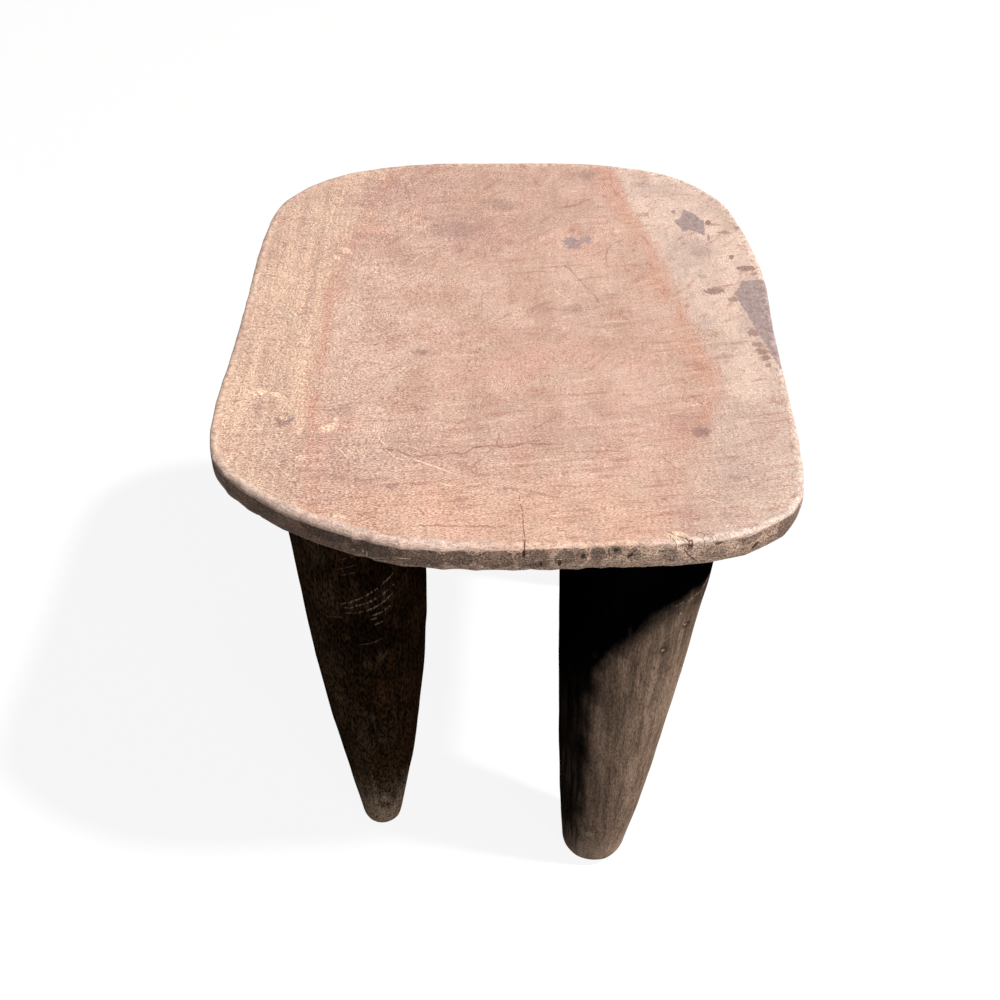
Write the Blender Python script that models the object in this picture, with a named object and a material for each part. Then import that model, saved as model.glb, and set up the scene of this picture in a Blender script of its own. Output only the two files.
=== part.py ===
"""A carved wooden stool: a dished seat slab on four round, tapering legs.

The real stool is hewn from one log, so nothing on it is jointed, pegged or glued. Its
five regions are modelled as five solids that part at the crease where each leg meets
the seat's underside. The log's grain runs along Y, from the front of the seat to its back.
"""

import math
from typing import NamedTuple

import bmesh
import bpy
from mathutils import Vector

# Driving sizes of the whole stool, in metres
STOOL_HEIGHT = 0.420
SEAT_WIDTH = 0.386
SEAT_LENGTH = 0.468
RIM_THICKNESS = 0.024
SEAM_GAP = 0.0003

# How finely the round forms are cut into faces
POINTS_PER_OUTLINE_SPAN = 4
POINTS_ROUND_A_LEG = 28


def clear_scene():
    """Start from an empty file."""
    for thing in list(bpy.data.objects):
        bpy.data.objects.remove(thing, do_unlink=True)


def make_collection(name):
    """The collection that holds the stool's parts."""
    collection = bpy.data.collections.new(name)
    bpy.context.scene.collection.children.link(collection)
    return collection


def wood_material(name, colour, roughness):
    """A plain wood: one colour, no metal."""
    material = bpy.data.materials.new(name)
    material.use_nodes = True
    shader = material.node_tree.nodes["Principled BSDF"]
    shader.inputs["Base Color"].default_value = (*colour, 1.0)
    shader.inputs["Roughness"].default_value = roughness
    shader.inputs["Metallic"].default_value = 0.0
    return material


def lofted_body(name, rings, collection, material):
    """One closed solid through rings of equal counts, with a flat face on each end ring.

    The rings run anticlockwise seen from above, and from the top of the solid to its
    bottom, so that every face points outwards.
    """
    body = bmesh.new()
    loops = [[body.verts.new(point) for point in ring] for ring in rings]
    for above, below in zip(loops, loops[1:]):
        for i in range(len(above)):
            ahead = (i + 1) % len(above)
            body.faces.new((above[i], below[i], below[ahead], above[ahead]))
    body.faces.new(loops[0])
    body.faces.new(reversed(loops[-1]))
    mesh = bpy.data.meshes.new(name)
    body.to_mesh(mesh)
    body.free()
    mesh.shade_smooth()
    mesh.set_sharp_from_angle(angle=math.radians(40))
    mesh.materials.append(material)
    solid = bpy.data.objects.new(name, mesh)
    collection.objects.link(solid)
    return solid


# The seat: one slab across the log, hollowed on top, rounded and undercut at its rim,
# and left thicker underneath, where a flat land carries the legs.
DISH_DEPTH = 0.008
DISH_POWER = 2.4
RIM_ROLL = 0.006
UNDERSIDE_SWELL = 0.006
LAND_INSET = 0.020
SEAT_COLOUR = (0.66, 0.43, 0.33)
SEAT_ROUGHNESS = 0.70

# The edge as carved, as shares of half the width and half the length, anticlockwise
# from the middle of the front: the front left corner is cut slanting, the others are full.
OUTLINE_SHARES = (
    (0.000, -1.000),
    (0.335, -0.990),
    (0.595, -0.976),
    (0.797, -0.921),
    (0.922, -0.815),
    (0.959, -0.637),
    (0.971, -0.348),
    (0.981, -0.069),
    (1.000, 0.189),
    (0.989, 0.369),
    (0.958, 0.562),
    (0.895, 0.737),
    (0.706, 0.909),
    (0.390, 0.989),
    (0.000, 1.000),
    (-0.390, 0.989),
    (-0.725, 0.907),
    (-0.933, 0.725),
    (-0.987, 0.460),
    (-0.988, 0.130),
    (-0.992, -0.198),
    (-1.000, -0.436),
    (-0.967, -0.652),
    (-0.811, -0.797),
    (-0.593, -0.905),
    (-0.327, -0.984),
)

# The rim's section from its crest over the shoulder and down the side to the lower edge:
# inset as a share of the roll, drop as a share of the rim's thickness.
RIM_SECTION_SHARES = (
    (1.00, 0.000),
    (0.62, 0.012),
    (0.32, 0.045),
    (0.10, 0.110),
    (0.00, 0.200),
    (0.00, 0.500),
    (0.12, 0.720),
    (0.30, 0.880),
    (0.60, 0.970),
    (1.10, 1.000),
)

# The dish's rings, as shares of the way from the middle of the seat to the rim's crest
DISH_RING_SHARES = (0.14, 0.30, 0.46, 0.60, 0.72, 0.82, 0.90, 0.96)
UNDERSIDE_MIDDLE_SHARE = 0.5
UNDERSIDE_BULGE_SHARE = 0.68


def curve_through(before, start, end, after, share):
    """A point on the smooth curve through four neighbours, between the middle two."""
    return 0.5 * (
        2 * start
        + (end - before) * share
        + (2 * before - 5 * start + 4 * end - after) * share ** 2
        + (3 * start - before - 3 * end + after) * share ** 3
    )


def seat_outline():
    """The seat's edge as a closed, smooth loop that spans its width and length exactly."""
    knots = [Vector(pair) for pair in OUTLINE_SHARES]
    count = len(knots)
    loop = []
    for i in range(count):
        neighbours = [knots[(i + step) % count] for step in (-1, 0, 1, 2)]
        for step in range(POINTS_PER_OUTLINE_SPAN):
            loop.append(curve_through(*neighbours, step / POINTS_PER_OUTLINE_SPAN))
    for axis, size in ((0, SEAT_WIDTH), (1, SEAT_LENGTH)):
        low = min(point[axis] for point in loop)
        high = max(point[axis] for point in loop)
        for point in loop:
            point[axis] = ((point[axis] - low) / (high - low) - 0.5) * size
    return loop


def outward_directions(loop):
    """The direction square to the edge at each of its points."""
    directions = []
    for i in range(len(loop)):
        along = loop[(i + 1) % len(loop)] - loop[i - 1]
        directions.append(Vector((along.y, -along.x)).normalized())
    return directions


def make_seat(collection):
    """The seat as a loft: out over the dish, round the rim and in to the land."""
    edge = seat_outline()
    outward = outward_directions(edge)

    def inset_ring(inset, drop):
        level = STOOL_HEIGHT - drop
        pairs = [point - direction * inset for point, direction in zip(edge, outward)]
        return [Vector((pair.x, pair.y, level)) for pair in pairs]

    crest = inset_ring(RIM_ROLL, 0)
    rings = []
    for share in DISH_RING_SHARES:
        level = STOOL_HEIGHT - DISH_DEPTH * (1 - share ** DISH_POWER)
        rings.append([Vector((point.x * share, point.y * share, level)) for point in crest])
    for inset_share, drop_share in RIM_SECTION_SHARES:
        rings.append(inset_ring(inset_share * RIM_ROLL, drop_share * RIM_THICKNESS))
    lower_inset = RIM_SECTION_SHARES[-1][0] * RIM_ROLL
    middle_inset = lower_inset + (LAND_INSET - lower_inset) * UNDERSIDE_MIDDLE_SHARE
    middle_drop = RIM_THICKNESS + UNDERSIDE_SWELL * UNDERSIDE_BULGE_SHARE
    rings.append(inset_ring(middle_inset, middle_drop))
    rings.append(inset_ring(LAND_INSET, RIM_THICKNESS + UNDERSIDE_SWELL))
    material = wood_material("worn_heartwood", SEAT_COLOUR, SEAT_ROUGHNESS)
    lofted_body("seat", rings, collection, material)


# The legs: near-round, full at the root and tapering in a long convex sweep to a blunt
# foot. Each takes a little fillet from the seat at its root, and stands on a small worn
# sole. Every leg is a variation on one leg of these sizes, because they are cut by eye.
LEG_TOP = STOOL_HEIGHT - RIM_THICKNESS - UNDERSIDE_SWELL - SEAM_GAP
LEG_SIDE_INSET = 0.100
LEG_END_INSET = 0.090
LEG_ROOT_RADIUS = 0.048
LEG_FOOT_RADIUS = 0.016
LEG_LEAN = 0.010
FILLET_WIDTH = 0.005
FILLET_HEIGHT = 0.034
FILLET_POWER = 2.6
FOOT_ROUNDING = 0.014
SOLE_SHARE = 0.58
ROOT_SQUARENESS = 2.25
ROUND = 2.0
FILLET_STEPS = 5
SHAFT_STEPS = 13
FOOT_STEPS = 4
LEG_COLOUR = (0.090, 0.066, 0.050)
LEG_ROUGHNESS = 0.62


class Leg(NamedTuple):
    """One leg: its side and end of the seat, and its shares of the sizes above."""

    name: str
    side: int
    end: int
    side_inset_share: float
    end_inset_share: float
    lean_x_share: float
    lean_y_share: float
    bow_x_share: float
    root_share: float
    foot_share: float
    taper_power: float


LEGS = (
    Leg("leg_front_left", side=-1, end=-1, side_inset_share=0.905, end_inset_share=1.110,
        lean_x_share=-0.30, lean_y_share=-0.20, bow_x_share=0.30,
        root_share=0.944, foot_share=0.756, taper_power=2.03),
    Leg("leg_front_right", side=1, end=-1, side_inset_share=1.065, end_inset_share=0.845,
        lean_x_share=-1.45, lean_y_share=-0.45, bow_x_share=0.10,
        root_share=1.027, foot_share=1.450, taper_power=1.53),
    Leg("leg_back_left", side=-1, end=1, side_inset_share=0.960, end_inset_share=0.955,
        lean_x_share=-0.80, lean_y_share=0.40, bow_x_share=0.20,
        root_share=0.980, foot_share=1.000, taper_power=1.75),
    Leg("leg_back_right", side=1, end=1, side_inset_share=0.990, end_inset_share=1.000,
        lean_x_share=0.40, lean_y_share=0.60, bow_x_share=-0.20,
        root_share=1.000, foot_share=1.090, taper_power=1.85),
)


def leg_radius(leg, height):
    """A leg's girth at a height: the long taper, the fillet above and the worn foot."""
    root_radius = LEG_ROOT_RADIUS * leg.root_share
    foot_radius = LEG_FOOT_RADIUS * leg.foot_share
    down_share = 1 - height / LEG_TOP
    taper_share = 1 - down_share ** leg.taper_power
    radius = foot_radius + (root_radius - foot_radius) * taper_share
    fillet_share = max(0, 1 - (LEG_TOP - height) / FILLET_HEIGHT)
    rounding_share = max(0, 1 - height / FOOT_ROUNDING)
    radius = radius * (1 - (1 - SOLE_SHARE) * rounding_share ** 2)
    return radius + FILLET_WIDTH * fillet_share ** FILLET_POWER


def leg_axis(leg, down_share):
    """Where a leg's axis stands at a share of the way down: it leans, and bows a little."""
    bow_share = 4 * down_share * (1 - down_share)
    root_x = leg.side * (SEAT_WIDTH / 2 - LEG_SIDE_INSET * leg.side_inset_share)
    root_y = leg.end * (SEAT_LENGTH / 2 - LEG_END_INSET * leg.end_inset_share)
    axis_x = root_x + LEG_LEAN * (leg.lean_x_share * down_share + leg.bow_x_share * bow_share)
    axis_y = root_y + LEG_LEAN * leg.lean_y_share * down_share
    return axis_x, axis_y


def leg_heights():
    """The heights of a leg's rings, from its root down to the floor."""
    shaft_top = LEG_TOP - FILLET_HEIGHT
    heights = [LEG_TOP - FILLET_HEIGHT * step / FILLET_STEPS for step in range(FILLET_STEPS)]
    for step in range(SHAFT_STEPS):
        heights.append(shaft_top - (shaft_top - FOOT_ROUNDING) * step / SHAFT_STEPS)
    for step in range(FOOT_STEPS + 1):
        heights.append(FOOT_ROUNDING * (1 - step / FOOT_STEPS))
    return heights


def leg_section(leg, height):
    """A leg's level section at a height: a little squared at the root and round below."""
    down_share = 1 - height / LEG_TOP
    axis_x, axis_y = leg_axis(leg, down_share)
    radius = leg_radius(leg, height)
    squareness = ROOT_SQUARENESS + (ROUND - ROOT_SQUARENESS) * down_share
    section = []
    for i in range(POINTS_ROUND_A_LEG):
        angle = 2 * math.pi * i / POINTS_ROUND_A_LEG
        across = math.cos(angle)
        along = math.sin(angle)
        fullness = (abs(across) ** squareness + abs(along) ** squareness) ** (-1 / squareness)
        reach = radius * fullness
        section.append(Vector((axis_x + reach * across, axis_y + reach * along, height)))
    return section


def make_legs(collection):
    """The four legs, each a loft of its sections, with a material of its own."""
    for leg in LEGS:
        material = wood_material(leg.name + "_wood", LEG_COLOUR, LEG_ROUGHNESS)
        sections = [leg_section(leg, height) for height in leg_heights()]
        lofted_body(leg.name, sections, collection, material)


def make_stool():
    """The whole stool."""
    clear_scene()
    collection = make_collection("carved_stool")
    make_seat(collection)
    make_legs(collection)


make_stool()
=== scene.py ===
import math
import random

import bpy
import numpy as np
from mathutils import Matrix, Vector, noise


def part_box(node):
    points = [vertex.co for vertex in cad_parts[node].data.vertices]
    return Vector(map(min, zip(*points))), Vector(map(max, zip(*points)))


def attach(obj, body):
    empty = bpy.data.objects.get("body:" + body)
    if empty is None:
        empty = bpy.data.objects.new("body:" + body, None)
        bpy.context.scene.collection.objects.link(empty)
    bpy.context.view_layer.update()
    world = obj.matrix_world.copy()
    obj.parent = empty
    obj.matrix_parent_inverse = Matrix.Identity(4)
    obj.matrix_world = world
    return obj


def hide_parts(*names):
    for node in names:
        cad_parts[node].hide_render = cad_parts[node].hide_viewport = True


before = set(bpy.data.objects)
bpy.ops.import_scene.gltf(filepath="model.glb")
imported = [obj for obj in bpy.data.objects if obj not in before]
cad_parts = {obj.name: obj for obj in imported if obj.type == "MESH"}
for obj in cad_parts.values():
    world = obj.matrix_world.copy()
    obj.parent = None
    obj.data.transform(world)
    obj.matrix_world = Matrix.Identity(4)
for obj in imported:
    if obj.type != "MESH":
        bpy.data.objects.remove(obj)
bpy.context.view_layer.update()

# The seat. It is a slab from across the heart of the log, in one piece with the legs. The
# adze dished its top and cut its rim in short facets, and use has worn it bare: red
# heartwood along the middle, pale sapwood at both sides, old dark patina where it is left.
SEAT_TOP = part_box("seat")[1].z
SEAT_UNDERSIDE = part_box("seat")[0].z
RIM_THICKNESS = 0.024
RIM_ROLL = 0.006
LAND_INSET = 0.020
DISH_DEPTH = 0.008
DISH_POWER = 2.4
COLUMN_SPACING = 0.0019
FIRST_ROW_SPACING = 0.0013
ROW_SPACING_GROWTH = 1.032
RIM_ROW_SPACING = 0.0014
LAND_ROW_SPACING = 0.0110

# The rim's section from its crest over the shoulder and down to the undercut lower edge:
# inset as a share of the roll, drop as a share of the rim's thickness.
RIM_SECTION_SHARES = (
    (1.00, 0.000), (0.62, 0.012), (0.32, 0.045), (0.10, 0.110), (0.00, 0.200),
    (0.00, 0.500), (0.12, 0.720), (0.30, 0.880), (0.60, 0.970), (1.10, 1.000),
)
# The shoulder where the arris is still crisp, and where along the seat the roll is full
CRISP_SHOULDER_SHARES = ((1.0, 0.0), (0.66, 0.003), (0.34, 0.008), (0.10, 0.030), (0.01, 0.110))
ROLL_ENDS_ACROSS = (-0.20, -0.17, -0.01, 0.06)

# Facets that the adze left on the front of the rim, by their middle and width along it,
# and the range of widths of those that go on round the seat.
FRONT_FACETS = (
    (-0.0745, 0.020), (-0.0510, 0.023), (-0.0295, 0.018), (-0.0085, 0.021), (0.0140, 0.021),
    (0.0335, 0.015), (0.0490, 0.014), (0.0610, 0.013), (0.0745, 0.012), (0.0900, 0.015),
)
FACET_WIDTHS = (0.016, 0.031)
FACET_DEPTHS = (0.0003, 0.0010)

# The drying check that runs in from the front edge, straight along the grain
CHECK_START = (0.0060, -0.189)
CHECK_END = (0.0090, -0.234)
CHECK_WIDTH = 0.0003
CHECK_DEPTH = 0.0009
SPLINTER_DEPTH = 0.0009

# How deep the top's swells and ripples and the rim's waves, chatter and nicks go
SWELL_DEPTH = 0.00055
RIPPLE_DEPTH = 0.00012
WAVE_DEPTH = 0.0004
CHATTER_DEPTH = 0.0001
NICK_DEPTH = 0.0022

# Edges of the red heartwood on the top, by their places along the seat and across it
HEART_LINE_PLACES = (-0.240, -0.180, -0.130, -0.090, -0.050, 0.030, 0.090, 0.130, 0.170, 0.235)
HEART_LEFT_LINE = (-0.112, -0.121, -0.128, -0.1315, -0.132, -0.130, -0.127, -0.117, -0.106, -0.088)
HEART_RIGHT_LINE = (0.098, 0.110, 0.126, 0.140, 0.1415, 0.1265, 0.117, 0.1075, 0.099, 0.087)

# Outlines and marks are written in tenths of a millimetre, degrees and percent
TENTH = 0.0001
PERCENT = 0.01


def outline(*numbers):
    """An outline in plan, from pairs of tenths of a millimetre."""
    return np.reshape(numbers, (-1, 2)) * TENTH


# The scar of the splinter that broke out of the front edge, and the patches of the old
# patina that still lie on the right of the top.
SPLINTER_SCAR = outline(
    935, -2199, 1012, -2195, 1070, -2344, 1047, -2450, 1024, -2450, 1024, -2344,
)
PATINA_WEDGE = outline(
    1756, 506, 1918, 502, 1969, 447, 2036, -22, 1939, -664, 1872, -664, 1845, -538, 1824, -457,
    1802, -288, 1778, -175, 1753, -59, 1730, 71, 1704, 192, 1689, 287, 1676, 355, 1712, 404,
    1734, 455,
)
PATINA_PATCH = outline(
    1433, 1588, 1507, 1520, 1578, 1377, 1567, 1155, 1534, 1204, 1493, 1253, 1440, 1274,
    1404, 1234, 1381, 1310, 1362, 1356, 1336, 1417, 1386, 1442, 1408, 1500,
)


def smooth_curve(knots, steps, closed=False):
    """Points on the smooth curve through the knots, so many of them to each span."""
    knots = np.array(knots, float)
    if closed:
        before, start, end, after = (np.roll(knots, -ahead, axis=0) for ahead in (-1, 0, 1, 2))
    else:
        ends = (2 * knots[0] - knots[1], 2 * knots[-1] - knots[-2])
        padded = np.vstack((ends[0], knots, ends[1]))
        before, start, end, after = padded[:-3], padded[1:-2], padded[2:-1], padded[3:]
    share = (np.arange(steps) / steps)[:, None]
    spans = [
        0.5 * (2 * b + (c - a) * share + (2 * a - 5 * b + 4 * c - d) * share ** 2
               + (3 * b - a - 3 * c + d) * share ** 3)
        for a, b, c, d in zip(before, start, end, after)
    ]
    return np.vstack(spans + [knots[:1] if closed else knots[-1:]])


def run_along(line):
    """How far along a line of points each of them lies."""
    steps = np.linalg.norm(np.diff(line, axis=0), axis=1)
    return np.concatenate(([0.0], np.cumsum(steps)))


def points_at(line, places):
    """The points at the given distances along a line of points."""
    run = run_along(line)
    return np.stack([np.interp(places, run, line[:, axis]) for axis in range(2)], axis=1)


def solid_outline(node, level, reach=0.0004, least_step=0.0005):
    """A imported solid's level outline, anticlockwise from the middle of the back."""
    corners = np.array([vertex.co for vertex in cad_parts[node].data.vertices])
    loop = corners[abs(corners[:, 2] - level) < reach][:, :2]
    turns = (np.arctan2(loop[:, 1], loop[:, 0]) - math.pi / 2) % (2 * math.pi)
    loop = loop[np.argsort(turns)]
    kept = [loop[0]]
    for point in loop[1:]:
        if np.linalg.norm(point - kept[-1]) > least_step:
            kept.append(point)
    if np.linalg.norm(kept[0] - kept[-1]) < least_step:
        kept.pop()
    return np.array(kept)


def undulation(points, length, shift):
    """Soft random swells, from about -1 to 1, of that length."""
    offset = Vector((shift, -shift, 2 * shift))
    values = [noise.noise(Vector(point) / length + offset) for point in points.reshape(-1, 3)]
    return np.array(values).reshape(points.shape[:-1])


def soft_step(values, start, end):
    """0 up to the start and 1 past the end, with a smooth way between them."""
    share = np.clip((values - start) / (end - start), 0.0, 1.0)
    return share * share * (3 - 2 * share)


def depth_inside(points, corners):
    """How far each point lies inside an outline in plan; outside it is negative."""
    nearest = np.full(points.shape[:-1], np.inf)
    inside = np.zeros(points.shape[:-1], bool)
    for start, end in zip(corners, np.roll(corners, -1, axis=0)):
        side = end - start
        gap = points - start
        share = np.clip(gap @ side / (side @ side), 0.0, 1.0)
        nearest = np.minimum(nearest, np.linalg.norm(gap - share[..., None] * side, axis=-1))
        if start[1] != end[1]:
            crossing = start[0] + (points[..., 1] - start[1]) * side[0] / side[1]
            spans = (start[1] > points[..., 1]) != (end[1] > points[..., 1])
            inside ^= spans & (points[..., 0] < crossing)
    return np.where(inside, nearest, -nearest)


def rim_facets(edge, run):
    """How hollow the rim is at each column, from 0 on a ridge to 1, and how deep."""
    picks = random.Random(11)
    front = edge[:, 1] < 0
    front_run = np.interp([middle for middle, _ in FRONT_FACETS], edge[front, 0], run[front])
    hollow = np.zeros(len(run))
    depth = np.zeros(len(run))
    facets = [(middle, width) for middle, (_, width) in zip(front_run, FRONT_FACETS)]
    first = facets[0][0] - facets[0][1] / 2
    place = facets[-1][0] + facets[-1][1] / 2
    around = run[-1] + COLUMN_SPACING
    while place < first + around:
        width = min(picks.uniform(*FACET_WIDTHS), first + around - place + FACET_WIDTHS[0] / 4)
        facets.append((place + width / 2, width))
        place += width
    for middle, width in facets:
        gap = (run - middle + around / 2) % around - around / 2
        share = np.clip(1 - (2 * gap / width) ** 2, 0.0, 1.0)
        deeper = share > hollow
        hollow = np.where(deeper, share, hollow)
        depth = np.where(deeper, picks.uniform(*FACET_DEPTHS), depth)
    return hollow, depth * np.interp(edge[:, 1], (-0.20, -0.12), (1.0, 0.35))


def rim_section(shares):
    """The rim's section as a line of insets and drops, from its crest to the flat underside."""
    insets, drops = zip(*shares)
    section = list(zip(np.array(insets) * RIM_ROLL, np.array(drops) * RIM_THICKNESS))
    swell = SEAT_TOP - SEAT_UNDERSIDE - RIM_THICKNESS
    section.append(((section[-1][0] + LAND_INSET) / 2, RIM_THICKNESS + 0.68 * swell))
    section.append((LAND_INSET, RIM_THICKNESS + swell))
    return smooth_curve(section, 8)


def between_shoulders(pair, share):
    """Two columns, by their share of the way from the crisp to the rolled shoulder."""
    return np.split(pair[0] + share * (pair[1] - pair[0]), 2, axis=1)


def seat_rows():
    """The seat's surface as rows of points from the middle of the top to that below.

    It gives the points, the way out of the wood at each, each point's run from the
    rim's crest, which is negative on the top, and how hollow the rim's facets are.
    """
    level = SEAT_TOP - RIM_THICKNESS / 2
    line = smooth_curve(solid_outline("seat", level), 12, closed=True)
    around = run_along(line)[-1]
    count = round(around / COLUMN_SPACING)
    run = np.arange(count) * around / count
    check_run = run[np.argmin(np.linalg.norm(points_at(line, run) - CHECK_END, axis=1))]
    offsets = np.array([-1.6, -0.8, -0.35, 0.35, 0.8, 1.6]) * CHECK_WIDTH
    run = np.sort(np.concatenate((run, check_run + offsets)))
    edge = points_at(line, run)
    ahead = points_at(line, (run + COLUMN_SPACING) % around)
    behind = points_at(line, (run - COLUMN_SPACING) % around)
    along = (ahead - behind) / np.linalg.norm(ahead - behind, axis=1, keepdims=True)
    outward = np.stack((along[:, 1], -along[:, 0]), axis=1)

    rolled = rim_section(RIM_SECTION_SHARES)
    rim_run = np.linspace(0, run_along(rolled)[-1], round(run_along(rolled)[-1] / RIM_ROW_SPACING))
    crisp = rim_section(CRISP_SHOULDER_SHARES + RIM_SECTION_SHARES[5:])
    crisp_run = rim_run * run_along(crisp)[-1] / rim_run[-1]
    roll_share = np.interp(edge[:, 0], ROLL_ENDS_ACROSS, (0.0, 1.0, 1.0, 0.0))
    roll_share *= 1 - soft_step(edge[:, 1], -0.16, -0.10)
    roll_share = roll_share[:, None]
    section_points = np.stack((points_at(crisp, crisp_run), points_at(rolled, rim_run)))
    section_ways = np.gradient(section_points, rim_run, axis=1)

    points, ways, from_crest = [], [], []
    crest = edge - outward * RIM_ROLL
    crest_reach = np.linalg.norm(crest, axis=1)
    row_count = 1 + math.ceil(math.log(1 + crest_reach.max() / FIRST_ROW_SPACING
                                       * (ROW_SPACING_GROWTH - 1), ROW_SPACING_GROWTH))
    steps_in = np.cumsum(ROW_SPACING_GROWTH ** np.arange(row_count))
    for share in 1 - steps_in[-2::-1] / steps_in[-1]:
        height = np.full(len(run), SEAT_TOP - DISH_DEPTH * (1 - share ** DISH_POWER))
        points.append(np.column_stack((crest * share, height)))
        ways.append(np.tile((0.0, 0.0, 1.0), (len(run), 1)))
        from_crest.append(-(1 - share) * crest_reach)
    for row, place in enumerate(rim_run):
        inset, drop = between_shoulders(section_points[:, row], roll_share)
        inset_way, drop_way = between_shoulders(section_ways[:, row], roll_share)
        points.append(np.hstack((edge - outward * inset, SEAT_TOP - drop)))
        ways.append(np.hstack((outward * drop_way, -inset_way)))
        from_crest.append(np.full(len(run), place))
    land = edge - outward * LAND_INSET
    land_reach = np.linalg.norm(land, axis=1)
    land_count = round(land_reach.max() / LAND_ROW_SPACING)
    for share in 1 - np.arange(1, land_count) / land_count:
        height = np.full(len(run), SEAT_UNDERSIDE)
        points.append(np.column_stack((land * share, height)))
        ways.append(np.tile((0.0, 0.0, -1.0), (len(run), 1)))
        from_crest.append(rim_run[-1] + (1 - share) * land_reach)
    ways = np.array(ways)
    ways /= np.linalg.norm(ways, axis=2, keepdims=True)
    hollow, depth = rim_facets(edge, run)
    return np.array(points), ways, np.array(from_crest), hollow, depth


def carved_rows(points, ways, from_crest, hollow, facet_depth):
    """The seat's rows after the work and wear on them: every cut goes into the wood."""
    drop = SEAT_TOP - points[..., 2]
    on_top = from_crest <= 0
    on_rim = soft_step(from_crest, 0.001, 0.007) * (1 - soft_step(from_crest, 0.027, 0.034))
    crest_band = np.exp(-(from_crest / 0.010) ** 2)
    cut = np.zeros(from_crest.shape)

    swells = undulation(points * (1.0, 0.6, 1.0), 0.045, 3.0)
    cut += np.where(on_top, SWELL_DEPTH * (1 + swells), 0.0)
    ripples = undulation(points * (1.0, 0.7, 1.0), 0.016, 7.0)
    cut += np.where(on_top, RIPPLE_DEPTH * (1 + ripples), 0.0)

    waves = undulation(points, 0.060, 1.0)
    cut += WAVE_DEPTH * (1 + waves) * on_rim
    facet_reach = 0.55 + 0.45 * undulation(points * (1.0, 1.0, 0.0), 0.020, 5.0)
    cut += hollow * facet_depth * np.clip(facet_reach + on_rim, 0, 1) * on_rim
    cut += crest_band * (0.0001 + 0.0004 * hollow * facet_depth / FACET_DEPTHS[1])
    chatter = undulation(points, 0.0050, 9.0)
    cut += on_rim * soft_step(from_crest, 0.006, 0.010) * CHATTER_DEPTH * (1 + chatter)
    nicks = np.clip(undulation(points, 0.0055, 13.0) - 0.30, 0, 1)
    lower_edge = soft_step(drop, 0.016, 0.021) * (1 - soft_step(from_crest, 0.030, 0.036))
    cut += lower_edge * nicks * NICK_DEPTH

    across = points[..., :2] - CHECK_END
    check_way = np.array(CHECK_END) - CHECK_START
    check_length = np.linalg.norm(check_way)
    check_way = check_way / check_length
    along_check = across @ check_way
    beside_check = abs(across @ np.array((-check_way[1], check_way[0])))
    gape = 1 - np.clip(-along_check / check_length, 0, 1)
    opened = np.clip(1 - beside_check / (CHECK_WIDTH * (0.4 + gape)), 0, 1)
    cut += CHECK_DEPTH * gape * opened * (1 - soft_step(from_crest, 0.008, 0.016))
    scar = soft_step(depth_inside(points[..., :2], SPLINTER_SCAR), -0.0004, 0.0009)
    cut += SPLINTER_DEPTH * scar * (1 - soft_step(from_crest, 0.010, 0.018))
    return points - ways * cut[..., None]


def lofted_mesh(name, rows, top_middle, low_middle):
    """A closed mesh through rows of equal counts, fanned in to a point at either end."""
    row_count, count = rows.shape[:2]
    vertices = np.vstack(([top_middle], rows.reshape(-1, 3), [low_middle]))
    index = 1 + np.arange(row_count * count).reshape(row_count, count)
    ahead = np.roll(index, -1, axis=1)
    quads = np.stack((index[:-1], index[1:], ahead[1:], ahead[:-1]), axis=-1).reshape(-1, 4)
    last = len(vertices) - 1
    faces = quads.tolist()
    faces += [(0, a, b) for a, b in zip(index[0].tolist(), ahead[0].tolist())]
    faces += [(last, b, a) for a, b in zip(index[-1].tolist(), ahead[-1].tolist())]
    mesh = bpy.data.meshes.new(name)
    mesh.from_pydata(vertices.tolist(), [], faces)
    mesh.shade_smooth()
    return mesh


def keep_values(mesh, name, values, ends):
    """Stores one number for each vertex of a lofted mesh, for its material to read."""
    flat = np.concatenate(([ends[0]], values.reshape(-1), [ends[1]]))
    mesh.attributes.new(name, "FLOAT", "POINT").data.foreach_set("value", flat.astype(np.float32))


class Value:
    """A number, place or colour in a node tree. Sums on it add the nodes that work them out."""

    def __init__(self, socket):
        self.socket = socket
        self.tree = socket.id_data

    def __add__(self, other):
        return reckon("ADD", self, other)

    def __sub__(self, other):
        return reckon("SUBTRACT", self, other)

    def __rsub__(self, other):
        return reckon("SUBTRACT", other, self)

    def __mul__(self, other):
        if self.socket.type != "VALUE" and getattr(other, "socket", self.socket).type == "VALUE":
            inputs = {0: self, "Scale": other}
            return outcome(self.tree, "ShaderNodeVectorMath", inputs, operation="SCALE")
        return reckon("MULTIPLY", self, other)

    def __truediv__(self, other):
        return reckon("DIVIDE", self, other)

    def __rtruediv__(self, other):
        return reckon("DIVIDE", other, self)

    def __pow__(self, other):
        return reckon("POWER", self, other)

    def __abs__(self):
        return reckon("ABSOLUTE", self)

    __radd__ = __add__
    __rmul__ = __mul__


def feed(node, inputs):
    """Fills inputs of a node: a Value makes a link, and anything else a constant."""
    for key, value in inputs.items():
        if isinstance(value, Value):
            value.tree.links.new(value.socket, node.inputs[key])
        else:
            node.inputs[key].default_value = value


def outcome(tree, kind, inputs=None, output=0, **settings):
    """Adds a node with its inputs and settings, and gives one of its outputs."""
    node = tree.nodes.new(kind)
    for setting, value in settings.items():
        setattr(node, setting, value)
    feed(node, inputs or {})
    return Value(node.outputs[output])


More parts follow.
